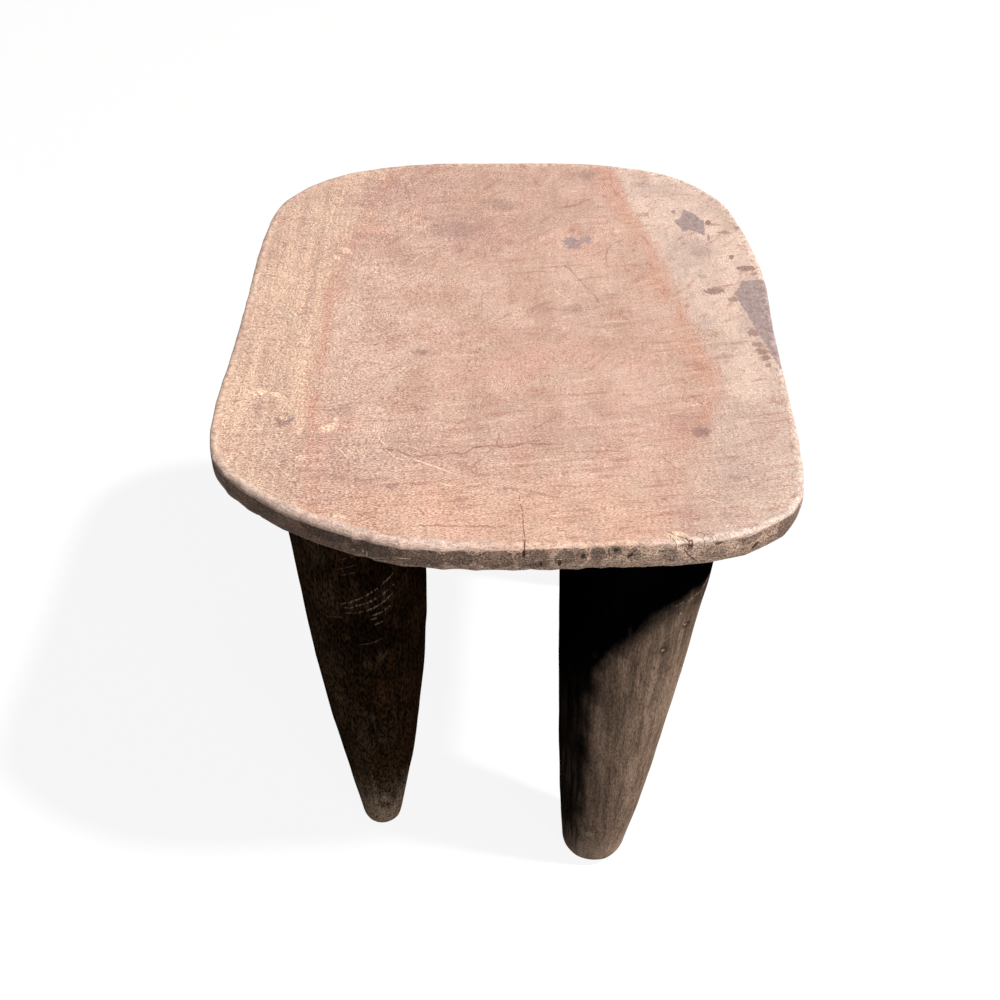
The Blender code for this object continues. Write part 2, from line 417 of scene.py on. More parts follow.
def reckon(operation, *terms):
    """The result of one sum on numbers and places; at least one of them is a Value."""
    sockets = [term.socket for term in terms if isinstance(term, Value)]
    kind, output = "ShaderNodeMath", "Value"
    if any(isinstance(term, tuple) for term in terms) or any(s.type != "VALUE" for s in sockets):
        kind = "ShaderNodeVectorMath"
        output = "Value" if operation in ("LENGTH", "DOT_PRODUCT") else "Vector"
        terms = [(term,) * 3 if isinstance(term, float) else term for term in terms]
    inputs = dict(enumerate(terms))
    return outcome(sockets[0].id_data, kind, inputs, output, operation=operation)


def greatest(first, *others):
    """The greatest of several numbers."""
    for other in others:
        first = reckon("MAXIMUM", first, other)
    return first


def blended(first, second, share):
    """The way from the first number to the second, by a share."""
    return (second - first) * share + first


def split(place):
    """The three numbers of a place."""
    node = place.tree.nodes.new("ShaderNodeSeparateXYZ")
    feed(node, {0: place})
    return [Value(socket) for socket in node.outputs]


def joined(tree, *numbers):
    """A place made of up to three numbers."""
    return outcome(tree, "ShaderNodeCombineXYZ", dict(enumerate(numbers)))


def turned(place, angle):
    """A place turned round the upright axis."""
    inputs = {"Vector": place, "Angle": angle}
    return outcome(place.tree, "ShaderNodeVectorRotate", inputs, rotation_type="Z_AXIS")


def kept(place, name):
    """A number that the mesh keeps for each of its vertices."""
    return outcome(place.tree, "ShaderNodeAttribute", None, "Fac", attribute_name=name)


def eased(value, start, end, low=0.0, high=1.0):
    """A value made into a soft step: low at its start and high at its end."""
    inputs = {"Value": value, "From Min": start, "From Max": end, "To Min": low, "To Max": high}
    return outcome(value.tree, "ShaderNodeMapRange", inputs, interpolation_type="SMOOTHSTEP",
                   clamp=False)


def plain_noise(place, scale=1.0, detail=1.0, roughness=0.5, output=0):
    """Noise about 0.5, as a number or, from its colour, as a place."""
    inputs = {"Vector": place, "Scale": scale, "Detail": detail, "Roughness": roughness}
    return outcome(place.tree, "ShaderNodeTexNoise", inputs, output)


def clouds(place, size, shift=0.0, detail=2.0, roughness=0.5):
    """Soft noise about 0.5 with patches of that size, either one length or three."""
    sizes = size if isinstance(size, tuple) else (size,) * 3
    stretch = {"Vector": place, "Location": (shift,) * 3, "Scale": [1 / each for each in sizes]}
    laid = outcome(place.tree, "ShaderNodeMapping", stretch)
    return plain_noise(laid, 1.0, detail, roughness)


def tint(red, green, blue):
    """A colour as a shader takes it, from the values of 0 to 255 that a screen shows."""
    shares = [value / 255 for value in (red, green, blue)]
    return (*[s / 12.92 if s <= 0.04045 else ((s + 0.055) / 1.055) ** 2.4 for s in shares], 1.0)


def over(share, first, second, way="MIX"):
    """The second colour laid over the first, by a share."""
    tree = next(each.tree for each in (share, first, second) if isinstance(each, Value))
    inputs = {0: share, 6: first, 7: second}
    return outcome(tree, "ShaderNodeMix", inputs, 2, data_type="RGBA", blend_type=way)


SOCKET_KINDS = {tuple: "NodeSocketVector", float: "NodeSocketFloat", int: "NodeSocketInt"}
ORIGIN = (0.0, 0.0, 0.0)


def effect_group(name, inputs, outputs, kind="ShaderNodeTree"):
    """A node group, its named inputs by their defaults or kinds, its outputs by their kinds.

    It gives the group, its inputs as Values by name, and its output node.
    """
    group = bpy.data.node_groups.new(name, kind)
    for label, value in inputs.items():
        socket_kind = value if isinstance(value, str) else SOCKET_KINDS[type(value)]
        socket = group.interface.new_socket(label, in_out="INPUT", socket_type=socket_kind)
        if socket_kind != value:
            socket.default_value = value
    for label, socket_kind in outputs.items():
        group.interface.new_socket(label, in_out="OUTPUT", socket_type=socket_kind)
    given = group.nodes.new("NodeGroupInput").outputs
    return group, {each.name: Value(each) for each in given}, group.nodes.new("NodeGroupOutput")


def make_fibre_group():
    """Wood fibre: short, fine strands that wander about the direction of the grain."""
    group, given, result = effect_group("wood_fibre", {
        "Place": ORIGIN, "Strand Size": (0.001, 0.006, 0.001), "Wander": 0.010,
        "Wander Size": 0.030,
    }, {"Fibre": "NodeSocketFloat"})
    bend = plain_noise(given["Place"] / given["Wander Size"], output="Color") - 0.5
    strands = (given["Place"] + bend * given["Wander"]) / given["Strand Size"]
    feed(result, {"Fibre": plain_noise(strands, 1.0, 1.0, 0.6)})
    return group


def make_oval_group():
    """A stain or dint: a ragged oval, 1 within it and 0 without, in the plane of X and Y."""
    group, given, result = effect_group("oval_stain", {
        "Place": ORIGIN, "Middle": ORIGIN, "Half Size": (0.005, 0.003, 1.0), "Turn": ORIGIN,
        "Tear": 0.0, "Softness": 0.2, "Strength": 1.0, "Before": 0.0,
    }, {"Share": "NodeSocketFloat"})
    laid = {"Vector": given["Place"], "Location": given["Middle"], "Rotation": given["Turn"],
            "Scale": given["Half Size"] * 4.0}
    laid = outcome(group, "ShaderNodeMapping", laid, vector_type="TEXTURE")
    nearness = outcome(group, "ShaderNodeTexGradient", {"Vector": laid}, "Fac",
                       gradient_type="SPHERICAL")
    reach = nearness * -4.0 + 4.0 + given["Tear"]
    share = eased(reach, 1.0 + given["Softness"], 1.0 - given["Softness"]) * given["Strength"]
    feed(result, {"Share": greatest(share, given["Before"])})
    return group


def make_stroke_group():
    """A scratch or cut: a fine line between two places that thins out at its ends."""
    group, given, result = effect_group("tool_stroke", {
        "Place": ORIGIN, "From": ORIGIN, "To": ORIGIN, "Half Width": 0.0005, "Strength": 1.0,
        "Before": 0.0,
    }, {"Share": "NodeSocketFloat"})
    gap = given["Place"] - given["From"]
    length = given["To"] - given["From"]
    share = reckon("DOT_PRODUCT", gap, length) / reckon("DOT_PRODUCT", length, length)
    share = outcome(group, "ShaderNodeClamp", {"Value": share})
    reach = reckon("LENGTH", gap - length * share)
    width = given["Half Width"] * (share * (1.0 - share) * 3.0 + 0.3)
    share = eased(reach / width, 1.5, 0.4) * given["Strength"]
    feed(result, {"Share": greatest(share, given["Before"])})
    return group


FIBRE = make_fibre_group()
OVAL = make_oval_group()
STROKE = make_stroke_group()


def fibre(place, strand, wander=0.010, wander_size=0.030):
    """Places the fibre effect in a material, for strands of that size."""
    inputs = {"Place": place, "Strand Size": strand, "Wander": wander, "Wander Size": wander_size}
    return outcome(place.tree, "ShaderNodeGroup", inputs, "Fibre", node_tree=FIBRE)


def turning_fibre(place, strand, turns, swirl):
    """Fibre whose direction changes over the surface, from turn to turn as the swirl rises."""
    total = 0.0
    for step, turn in enumerate(turns):
        strands = fibre(turned(place, math.radians(turn)), strand, 0.003, 0.012)
        nearness = greatest(1.0 - abs(swirl - step), 0.0)
        total = strands * nearness + total
    return total


def wandering_lines(place, size, width, shift):
    """Thin lines that wander over the surface, broken here and there."""
    off = abs(clouds(place, size, shift, 2.0, 0.45) - 0.5)
    broken = eased(clouds(place, 0.022, shift + 5.0, 2.0), 0.48, 0.60)
    return eased(off, width, width * 0.25) * broken


def stains(place, table, tear, softness=0.2):
    """The greatest of several stains, each by middle, half sizes, turn and strength."""
    total = 0.0
    for *numbers, turn, strength in table:
        middle, half_sizes = outline(*numbers).tolist()
        inputs = {"Place": place, "Middle": (*middle, 0.0), "Half Size": (*half_sizes, 1.0),
                  "Turn": (0.0, 0.0, math.radians(turn)), "Tear": tear, "Softness": softness,
                  "Strength": strength * PERCENT, "Before": total}
        total = outcome(place.tree, "ShaderNodeGroup", inputs, "Share", node_tree=OVAL)
    return total


def stroke_list(table):
    """Each stroke of a table: both ends, half width and strength.

    A row has half width and strength, and then the places of a crooked line in pairs.
    """
    for half_width, strength, *numbers in table:
        places = outline(*numbers).tolist()
        for start, end in zip(places, places[1:]):
            yield start, end, half_width * TENTH, strength * PERCENT


def strokes(place, table, width_share=1.0):
    """The greatest of the strokes of a table."""
    total = 0.0
    for start, end, half_width, strength in stroke_list(table):
        inputs = {"Place": place, "From": (*start, 0.0), "To": (*end, 0.0),
                  "Half Width": half_width * width_share, "Strength": strength, "Before": total}
        total = outcome(place.tree, "ShaderNodeGroup", inputs, "Share", node_tree=STROKE)
    return total


def new_wood(name):
    """A material, and the place on the piece that its pattern follows."""
    material = bpy.data.materials.new(name)
    material.use_nodes = True
    return material, outcome(material.node_tree, "ShaderNodeTexCoord", None, "Object")


def finish_wood(material, wood, rough, gloss, bump):
    """Hands a wood's colour, roughness, gloss and relief on to its shader."""
    normal = outcome(material.node_tree, "ShaderNodeBump", bump)
    feed(material.node_tree.nodes["Principled BSDF"], {
        "Base Color": wood, "Roughness": rough, "Specular IOR Level": gloss, "Normal": normal})
    return material


# Marks on the top, each where it lies. A stain has its middle, half sizes, turn and
# strength; a stroke has its half width, its strength and then its places.
PATINA_SPOTS = (
    (1612, 1362, 23, 39, -8, 100), (1659, 1329, 40, 18, -18, 50), (1714, 1209, 51, 25, -18, 75),
    (1830, 1254, 29, 20, -53, 80), (1585, 1138, 12, 46, -7, 80), (1720, 845, 20, 32, -8, 100),
    (1809, 670, 66, 41, -8, 95), (1856, 587, 22, 22, -6, 80), (1543, 399, 80, 42, -2, 95),
    (1658, 271, 39, 31, -8, 80), (1318, 224, 22, 21, -6, 60), (1745, -164, 45, 43, -32, 85),
    (1748, -304, 37, 28, -28, 80), (1768, -396, 36, 37, -25, 90), (1780, -474, 34, 34, -25, 90),
    (1788, -556, 21, 23, -8, 80), (1101, 1531, 45, 27, 4, 50), (991, 1019, 10, 16, -3, 90),
    (1355, 1557, 18, 27, -5, 80), (1474, 601, 30, 27, -7, 40), (1740, 240, 32, 20, -42, 60),
    (1284, -923, 13, 14, -5, 70),
)
BLUISH_SPOTS = (
    (515, 1140, 72, 75, -1, 100), (630, 1185, 50, 58, 20, 90), (560, 1070, 30, 30, 0, 70),
)
SOFT_SMUDGES = (
    (675, 2138, 84, 76, -1, 60), (251, 236, 59, 52, -1, 25), (478, 233, 76, 58, 16, 35),
    (-604, -307, 49, 36, 2, 70), (-1458, -1116, 58, 60, -26, 100), (1248, -1226, 57, 51, -4, 100),
    (-50, 1690, 131, 89, 0, 50), (1496, 946, 84, 71, -7, 35), (1400, -1696, 50, 29, -27, 50),
    (-1107, -987, 79, 87, 2, 35), (-979, -1532, 58, 30, 26, 40), (-713, -1764, 37, 29, 1, 70),
    (-1, -1797, 74, 49, -8, 20), (-409, 1323, 175, 101, 0, 50), (-1061, 1205, 175, 58, -7, 35),
    (1117, 1988, 75, 45, -3, 40), (-1642, -1006, 58, 53, 6, 25), (-1335, -1277, 45, 42, 3, 30),
)
MAUVE_CLOUDS = (
    (-289, 1323, 319, 314, 0, 100), (-797, 1908, 500, 269, 8, 90), (436, 1542, 398, 199, 25, 55),
    (-50, 2065, 754, 181, 0, 55), (-1311, -1474, 239, 249, -27, 50),
    (145, -1184, 390, 211, 0, 45), (-946, -1692, 281, 98, -8, 70), (-558, -1418, 317, 123, 1, 45),
    (1148, -1996, 274, 188, -2, 55), (1530, -1529, 184, 349, -6, 40), (603, 88, 313, 267, 23, 35),
    (-1867, 1863, 231, 330, 54, 60), (-985, 1022, 311, 142, 2, 40),
    (868, -1082, 390, 191, -3, 30), (1580, -1120, 200, 170, 0, 50),
    (-1740, 1350, 200, 400, 0, 35), (-1180, -1830, 300, 110, -20, 45),
    (1200, -1130, 160, 180, 0, 55),
)
DARK_LINES = (
    (8, 80, -820, -1394, -704, -1411, -600, -1471, -405, -1437, -278, -1425, -241, -1384, -114,
     -1342, -24, -1363, 123, -1332, 309, -1332),
    (6, 70, -50, -1215, -88, -1363, -139, -1435, -219, -1568),
    (6, 70, 145, -1194, 258, -1087, 325, -1044), (6, 40, 198, -1141, 311, -1055, 541, -1055),
    (6, 40, -357, -1120, -227, -1065, -116, -1032), (6, 35, 271, -1508, 607, -1478),
    (10, 45, -62, -1768, 72, -1797, 339, -1866, 463, -1808),
    (6, 70, -546, -2143, -286, -2132, 27, -2150),
    (7, 60, 755, 805, 784, 1015, 838, 1127, 936, 1180),
    (6, 70, 442, 840, 541, 645, 623, 480, 700, 265), (15, 50, 439, 1645, 588, 1703, 690, 1775),
    (6, 45, 251, 249, 536, 205, 730, 277), (6, 60, 1140, -1716, 1186, -1638),
    (6, 40, -1186, -1468, -1088, -1505, -996, -1482),
    (14, 40, -1102, -1668, -962, -1713, -791, -1697), (11, 35, 882, 2225, 884, 1982, 929, 1785),
    (13, 30, 1061, 1275, 1135, 1039, 1163, 836), (5, 70, -549, -1964, -503, -2049),
)
OPEN_LINES = (
    (3, 60, 66, -1836, 71, -1904), (3, 90, 71, -1923, 88, -2009, 84, -2056),
    (3, 100, 87, -2075, 86, -2140, 96, -2251, 93, -2330),
    (3, 100, 931, -2185, 980, -2219, 1024, -2244, 1060, -2294),
    (3, 100, 946, -2211, 948, -2253, 978, -2302, 1015, -2335),
    (2, 70, 961, -2236, 998, -2278, 1026, -2335), (2, 80, 990, -2236, 1022, -2269, 1050, -2327),
    (3, 70, 1096, -2227, 1111, -2202, 1135, -2202, 1149, -2227, 1134, -2253, 1106, -2244, 1096,
     -2227),
    (3, 70, 1129, -2253, 1148, -2286), (3, 60, 1152, -2202, 1177, -2236, 1196, -2269),
    (3, 60, 1176, -2202, 1201, -2236, 1220, -2269),
    (5, 100, 1044, -2278, 1068, -2269, 1069, -2311, 1045, -2319),
)
PALE_LINES = (
    (5, 80, -1110, -1351, -986, -1522), (5, 70, -1002, -1347, -895, -1489),
    (5, 70, -1023, -1389, -943, -1511), (6, 90, -843, -1258, -771, -1371),
    (5, 70, -690, -1328, -539, -1408), (6, 80, -789, -1382, -692, -1504),
    (8, 100, -657, -1462, -298, -1649), (7, 90, -420, -1729, -339, -1758),
    (5, 60, -813, -1961, -733, -1987), (5, 60, -719, -1473, -641, -1512),
    (6, 70, -1788, -1272, -1741, -1122), (6, 60, -1563, -1590, -1478, -1401),
    (6, 70, -1338, -1748, -1304, -1677), (5, 70, -1790, -1138, -1721, -1255),
    (5, 70, -1818, -567, -1698, -697), (5, 60, -1552, -1457, -1358, -1689),
    (6, 60, 991, -805, 1128, -703), (6, 50, 734, -1386, 866, -1325),
    (6, 70, 1675, -1152, 1809, -1271), (6, 70, 1198, -1883, 1288, -1933),
    (6, 60, 162, -1885, 295, -1914), (5, 80, -1748, 1436, -1654, 1661),
    (5, 90, -1354, 1659, -1338, 1947), (6, 60, -743, 848, -444, 1178),
    (5, 90, 369, 472, 404, 405), (5, 80, 397, 432, 440, 378), (5, 70, -637, 2063, -490, 2201),
)
CREAM_CHIPS = (
    (-1659, -836, 52, 33, 13, 90), (-1544, -856, 45, 26, -17, 90),
    (-1461, -1095, 29, 25, -26, 70), (-1154, -1173, 62, 36, 34, 80),
    (-1001, -2062, 31, 19, -13, 80), (-1307, -1505, 31, 31, 3, 50),
    (998, -2278, 100, 40, -54, 100), (1016, -2212, 50, 16, -35, 80), (1206, -2320, 23, 12, 0, 50),
    (-1122, -1096, 19, 54, 2, 50), (-1349, -1215, 16, 42, 3, 60), (-1248, 1004, 29, 65, 52, 70),
    (-1298, 884, 22, 54, 40, 60),
)

# Marks on the front of the rim, by their places across and up
RIM_OVALS = (
    (-521, 4085, 139, 75, 0, 100), (-292, 4099, 85, 66, 0, 60), (-76, 4095, 102, 75, 0, 90),
    (143, 4094, 105, 91, 0, 35), (329, 4100, 59, 62, 0, 50), (428, 4109, 35, 58, 0, 90),
    (525, 4114, 50, 58, 0, 35), (617, 4135, 38, 49, 0, 70), (733, 4108, 41, 46, 0, 80),
    (-811, 4084, 131, 72, 0, 50), (-1103, 4139, 147, 81, 0, 40), (1426, 4143, 62, 43, 0, 90),
    (957, 4097, 71, 50, 0, 20), (1208, 4090, 89, 52, 0, 25), (1685, 4124, 76, 127, 0, 50),
)
RIM_PITS = (
    (86, 4140, 10, 30, 0, 100), (68, 4005, 8, 7, 0, 100), (190, 4050, 10, 24, 0, 100),
    (300, 4055, 12, 30, 0, 100), (434, 4109, 14, 22, 0, 100), (625, 4143, 14, 16, 0, 100),
    (712, 4105, 12, 22, -40, 100), (1067, 4170, 14, 16, 0, 100), (1467, 4062, 16, 34, -30, 100),
    (1229, 4166, 26, 17, 0, 80), (-1006, 4019, 11, 11, 0, 100), (-227, 4002, 8, 6, 0, 100),
)
RIM_LINES = (
    (4, 100, 1024, 4134, 1059, 4082, 1113, 4020), (4, 90, 705, 4089, 720, 4121, 753, 4152),
    (4, 60, 577, 4169, 592, 4111, 641, 4076),
)
# Painted highlights on the front of the rim
RIM_GLINTS = (
    (4, 80, -860, 4071, -863, 4037), (4, 90, -837, 4063, -841, 4002),
    (3, 80, -829, 4003, -698, 4054), (4, 90, -655, 4070, -572, 4070),
    (5, 100, -209, 4029, -191, 4030), (5, 80, -168, 4023, -150, 4024),
    (5, 80, -126, 4034, -103, 4031), (4, 80, 283, 4089, 312, 4088), (5, 80, 598, 4111, 640, 4093),
    (4, 80, 149, 4077, 172, 4085),
)


def seat_wood():
    """The seat's wood: heart, sap, grain, stains and scratches, worn edges and dark rim."""
    material, place = new_wood("seat_wood")
    across, along, height = split(place)
    flat = place * (1.0, 1.0, 0.0)
    front = joined(place.tree, across, height)
    bent = flat + (plain_noise(place, 110.0, output="Color") - 0.5) * (0.0045, 0.0045, 0.0)

    # Sapwood and heartwood, whose border wanders with the grain
    from_crest = kept(place, "from_crest")
    right_side = eased(across, -0.08, 0.08)
    swells = clouds(flat, (0.03, 0.06, 1.0), 1.0)
    bands = clouds(flat, (0.0075, 0.15, 1.0), 11.0, 3.0, 0.6)
    left_sap = over(eased(bands, 0.36, 0.64), tint(203, 167, 147), tint(228, 191, 167))
    left_sap = over(eased(swells, 0.4, 0.66, 0.0, 0.5), left_sap, tint(228, 194, 169))
    right_sap = over(eased(swells, 0.38, 0.62), tint(213, 186, 172), tint(234, 205, 188))
    greyed = eased(along, -0.06, -0.17, 0.0, 0.55)
    right_sap = over(greyed, right_sap, tint(208, 181, 166))
    sap = over(right_side, left_sap, right_sap)
    heart = over(eased(clouds(flat, (0.034, 0.05, 1.0), 2.0, 3.0), 0.36, 0.64),
                 tint(204, 166, 147), tint(220, 184, 166))
    rosy = clouds(flat, (0.055, 0.08, 1.0), 5.0, 2.0)
    heart = over(eased(rosy, 0.5, 0.72, 0.0, 0.5), heart, tint(224, 175, 157))
    grain_wander = (clouds(flat, (0.01, 0.08, 1.0), 3.0, 3.0) - 0.5) * 0.016
    grain_wander = grain_wander + (clouds(flat, (0.002, 0.014, 1.0), 6.0) - 0.5) * 0.005
    left_in = kept(place, "inside_left_line") + grain_wander
    right_in = kept(place, "inside_right_line") + grain_wander
    right_reach = eased(along, -0.09, -0.17, 0.008, 0.022)
    right_start = right_reach * -1.1
    in_heart = eased(left_in, -0.008, 0.006) * eased(right_in, right_start, right_reach)
    wood = over(in_heart, sap, heart)

    # The red streaks along the heart's two edges, and the greyed and mauve clouds
    left_streak = eased(left_in, -0.009, 0.001) * eased(left_in, 0.011, 0.003)
    right_streak = eased(right_in, -0.008, 0.004) * eased(right_in, 0.026, 0.004)
    right_streak = right_streak * eased(along, -0.15, -0.115)
    streak = greatest(left_streak, right_streak)
    streak = streak * eased(clouds(flat, (0.01, 0.045, 1.0), 8.0), 0.3, 0.6, 0.15, 0.75)
    wood = over(streak, wood, tint(211, 159, 137))
    tan_band = eased(left_in, 0.004, 0.01) * eased(left_in, 0.03, 0.02)
    tan_band = tan_band * (eased(along, -0.12, -0.08) * eased(along, 0.06, 0.03))
    wood = over(tan_band * 0.45, wood, tint(220, 190, 170))
    warm = in_heart * eased(along, -0.145, -0.195, 0.0, 0.3)
    wood = over(warm, wood, tint(240, 188, 158))
    greying = clouds(flat, (0.028, 0.04, 1.0), 12.0, 3.0)
    wood = over(eased(greying, 0.52, 0.7, 0.0, 0.5), wood, tint(212, 183, 163))
    tear = (clouds(flat, 0.02, 14.0, 4.0, 0.6) - 0.5) * 4.0
    mauve = stains(flat, MAUVE_CLOUDS, tear, 0.9)
    wood = over(mauve * 0.8, wood, tint(192, 154, 141))

    # Smears across the grain, and fine dark lines
    level_smears = clouds(turned(flat, -0.12), (0.03, 0.0048, 1.0), 101.0, 5.0, 0.68)
    steep_smears = clouds(turned(flat, -0.75), (0.024, 0.0065, 1.0), 107.0, 5.0, 0.68)
    smears = eased(clouds(flat, 0.05, 111.0, 1.0), 0.4, 0.6)
    smears = smears * eased(along, -0.09, -0.04)
    smears = blended(level_smears, steep_smears, smears)
    smear_share = eased(across, -0.15, -0.11, 0.7, 1.0)
    wood = over(eased(smears, 0.52, 0.66, 0.0, 0.7) * smear_share, wood, tint(190, 140, 123))
    wood = over(eased(smears, 0.47, 0.34, 0.0, 0.5) * smear_share, wood, tint(240, 203, 180))
    lines = greatest(wandering_lines(flat, (0.06, 0.009, 1.0), 0.012, 61.0),
                     wandering_lines(flat, (0.013, 0.04, 1.0), 0.01, 67.0),
                     wandering_lines(turned(flat, 0.9), (0.05, 0.012, 1.0), 0.01, 73.0))
    wood = over(lines * 0.4, wood, tint(176, 132, 114))

    # Dark lines, smudges, and what is left of the patina
    dark_lines = strokes(bent, DARK_LINES)
    wood = over(dark_lines * 0.78, wood, tint(152, 106, 90))
    tear = (clouds(flat, (0.0022, 0.0032, 1.0), 4.0, 2.0, 0.6) - 0.5) * 2.2
    smudge = stains(flat, SOFT_SMUDGES, tear, 0.35)
    wood = over(smudge * 0.8, wood, tint(156, 126, 118))
    spots = stains(flat, PATINA_SPOTS, tear)
    wood = over(spots, wood, tint(166, 133, 123))
    bluish = stains(flat, BLUISH_SPOTS, tear, 0.3) * 0.75
    wood = over(bluish, wood, tint(158, 138, 140))
    torn = (clouds(flat, 0.003, 6.0, 3.0, 0.6) - 0.5) * 0.006
    patina = eased(kept(place, "patina_depth") + torn, -0.0004, 0.0004)
    patina_tone = over(eased(clouds(flat, 0.004, 9.0), 0.35, 0.65), tint(167, 144, 139),
                       tint(181, 159, 154))

    # Pale chips, scratches and flecks, and the worn crest of the rim
    chips = stains(flat, CREAM_CHIPS, tear)
    scratches = strokes(flat, PALE_LINES, 0.7)
    flecks = clouds(flat, (0.0022, 0.0013, 1.0), 91.0, 1.0)
    on_left = eased(across, -0.06, -0.13, 0.25, 0.75)
    flecks = eased(flecks, 0.64, 0.74) * on_left
    pale = greatest(chips, scratches, flecks)
    wood = over(pale * 0.9, wood, tint(250, 218, 190))
    crest_place = from_crest + (clouds(place, 0.012, 21.0, 2.0) - 0.5) * 0.0035
    band_start = eased(across, 0.03, -0.06, -0.0006, -0.0018)
    worn = eased(crest_place, band_start, band_start + 0.0026)
    worn = worn * eased(crest_place, 0.011, 0.008)
    on_front = eased(along, -0.1, -0.19)
    worn_share = greatest(eased(across, 0.02, -0.04), eased(across, 0.06, 0.12))
    worn_share = on_front * worn_share * 0.45 + 0.15
    wood = over(worn * worn_share, wood, tint(224, 201, 189))
    wood = over(patina * eased(crest_place, 0.0075, 0.0055), wood, patina_tone)

    # The rim's side: painted shade on the left and painted light on the right, as shaded and lit
    # copies of its colour, with its ovals, cuts, pits and painted glints
    side_start = blended(0.0058, 0.0085, on_front * eased(across, 0.01, -0.07))
    side_start = side_start + on_front * eased(across, 0.07, 0.1, 0.0, 0.0016)
    side = eased(crest_place, side_start, side_start + 0.0012)
    # Painted shade: the rim's colours grow darker towards the left
    left_shade = eased(across, -0.125, 0.015)
    rim_clouds = clouds(place, (0.013, 0.013, 0.006), 31.0, 4.0, 0.65)
    rim_lit = over(eased(rim_clouds, 0.35, 0.65), tint(186, 154, 136), tint(226, 193, 170))
    rim_shaded = over(eased(rim_clouds, 0.35, 0.65), tint(106, 86, 75), tint(142, 114, 99))
    rim = over(left_shade, rim_shaded, rim_lit)
    # Painted shade on the rim's right end, toning down the lamp's stronger light there
    right_end_shade = eased(across, 0.125, 0.165, 0.0, 0.55) * eased(along, -0.1, -0.16)
    rim = over(right_end_shade, rim, tint(138, 112, 96))
    # Painted light on the front of the rim, right of the middle
    front_right_light = eased(across, 0.05, 0.08) * eased(across, 0.145, 0.115, 0.0, 0.65)
    rim = over(front_right_light * on_front, rim, tint(222, 190, 168))
    rim_tear = clouds(place, 0.003, 27.0, 3.0, 0.6) - 0.5
    faces_front = eased(along, 0.0, -0.05)
    ovals = stains(front, RIM_OVALS, rim_tear, 0.22) * faces_front
    cuts = eased(crest_place, 0.0095, 0.0112) * eased(crest_place, 0.0225, 0.02)
    cuts = cuts * eased(kept(place, "hollow") + (rim_clouds - 0.5) * 0.5, 0.3, 0.42)
    cuts = cuts * eased(along, -0.18, -0.12)
    cuts = cuts * eased(clouds(place, 0.024, 33.0, 1.0), 0.38, 0.58, 0.12, 0.5)
    ovals = greatest(ovals, cuts)
    oval_edge = eased(ovals, 0.05, 0.35) * eased(ovals, 0.95, 0.45)
    oval_tint = over(left_shade, tint(100, 80, 70), tint(136, 110, 98))
    rim = over(ovals * 0.78, rim, oval_tint)
    rim = over(oval_edge * 0.52, rim, over(left_shade, tint(62, 50, 44), tint(84, 68, 62)))
    low_edge = eased(from_crest, 0.0225, 0.0245)
    rim = over(low_edge * 0.45, rim, over(left_shade, tint(128, 108, 94), tint(204, 176, 154)))
    pits = greatest(stains(front, RIM_PITS, rim_tear), strokes(front, RIM_LINES))
    pits = pits * faces_front
    specks = eased(clouds(place, 0.0018, 37.0, 1.0), 0.66, 0.72, 0.0, 0.8)
    rim = over(greatest(pits, specks), rim, tint(66, 48, 40))
    light_specks = eased(clouds(place, 0.002, 47.0, 1.0), 0.68, 0.73, 0.0, 0.5)
    # Painted glints on the front, and pale specks
    glints = strokes(front, RIM_GLINTS) * faces_front
    rim = over(greatest(glints, light_specks), rim, tint(230, 206, 184))
    wood = over(side, wood, rim)

    # The open splits, and the dark underside
    open_lines = strokes(flat, OPEN_LINES) * eased(crest_place, 0.014, 0.009)
    wood = over(open_lines * 0.9, wood, tint(104, 60, 42))
    under = eased(from_crest, 0.028, 0.036)
    under_tone = over(eased(clouds(place, (0.012, 0.05, 0.02), 41.0, 3.0, 0.6), 0.35, 0.65),
                      tint(56, 44, 36), tint(98, 78, 64))
    wood = over(under, wood, under_tone)

    # The fine fibre, lighter and darker, that turns over the top
    swirl = eased(clouds(flat, (0.03, 0.026, 1.0), 81.0, 1.0), 0.36, 0.64, 0.0, 3.0)
    swirl = blended(swirl, 2.9, eased(across, -0.09, -0.15) * 0.65)
    swirl = blended(swirl, 0.9, eased(along, -0.11, -0.17) * 0.6)
    fine = turning_fibre(flat, (0.0021, 0.00048, 1.0), (40, -8, -38, -68), swirl)
    grit = clouds(flat, 0.00062, 71.0, 1.0)
    crisp = eased(fine, 0.3, 0.7) * 0.73 + eased(grit, 0.28, 0.72) * 0.27
    longer = turning_fibre(flat, (0.013, 0.0008, 1.0), (34, -6, -30, -72), swirl)
    pale_strands = eased(longer, 0.58, 0.68)
    dark_strands = eased(longer, 0.43, 0.33, 0.0, 1.5)
    long_fibre = fibre(place, (0.0014, 0.018, 0.0014), 0.01, 0.06)
    broad = fibre(place, (0.0035, 0.022, 0.0035), 0.014, 0.06)
    rim_grain = fibre(place, (0.004, 0.004, 0.0008), 0.004, 0.02)
    contrast = right_side * -0.8 + 1.9
    more_left = eased(across, -0.02, -0.12)
    contrast = contrast + more_left
    contrast = contrast + eased(along, -0.08, -0.17, 0.0, 0.5)
    near_crest = eased(from_crest, 0.001, -0.0012, 0.1, 1.0)
    contrast = contrast * eased(from_crest, 0.001, -0.0012, 0.5, 1.0)
    share = (crisp - 0.5) * contrast + 0.5
    share = (pale_strands - dark_strands) * (contrast * 0.18) + share
    fine_tone = over(share, (0.68, 0.56, 0.51, 1.0), (1.29, 1.41, 1.48, 1.0))
    deeper = more_left * 0.26
    fine_tone = over(deeper, fine_tone, fine_tone, "MULTIPLY")
    slow = broad * 0.2 + long_fibre * 0.2
    top_tone = over(1.0, fine_tone, slow + 0.8, "MULTIPLY")
    rim_fine = clouds(place, 0.001, 57.0, 1.0)
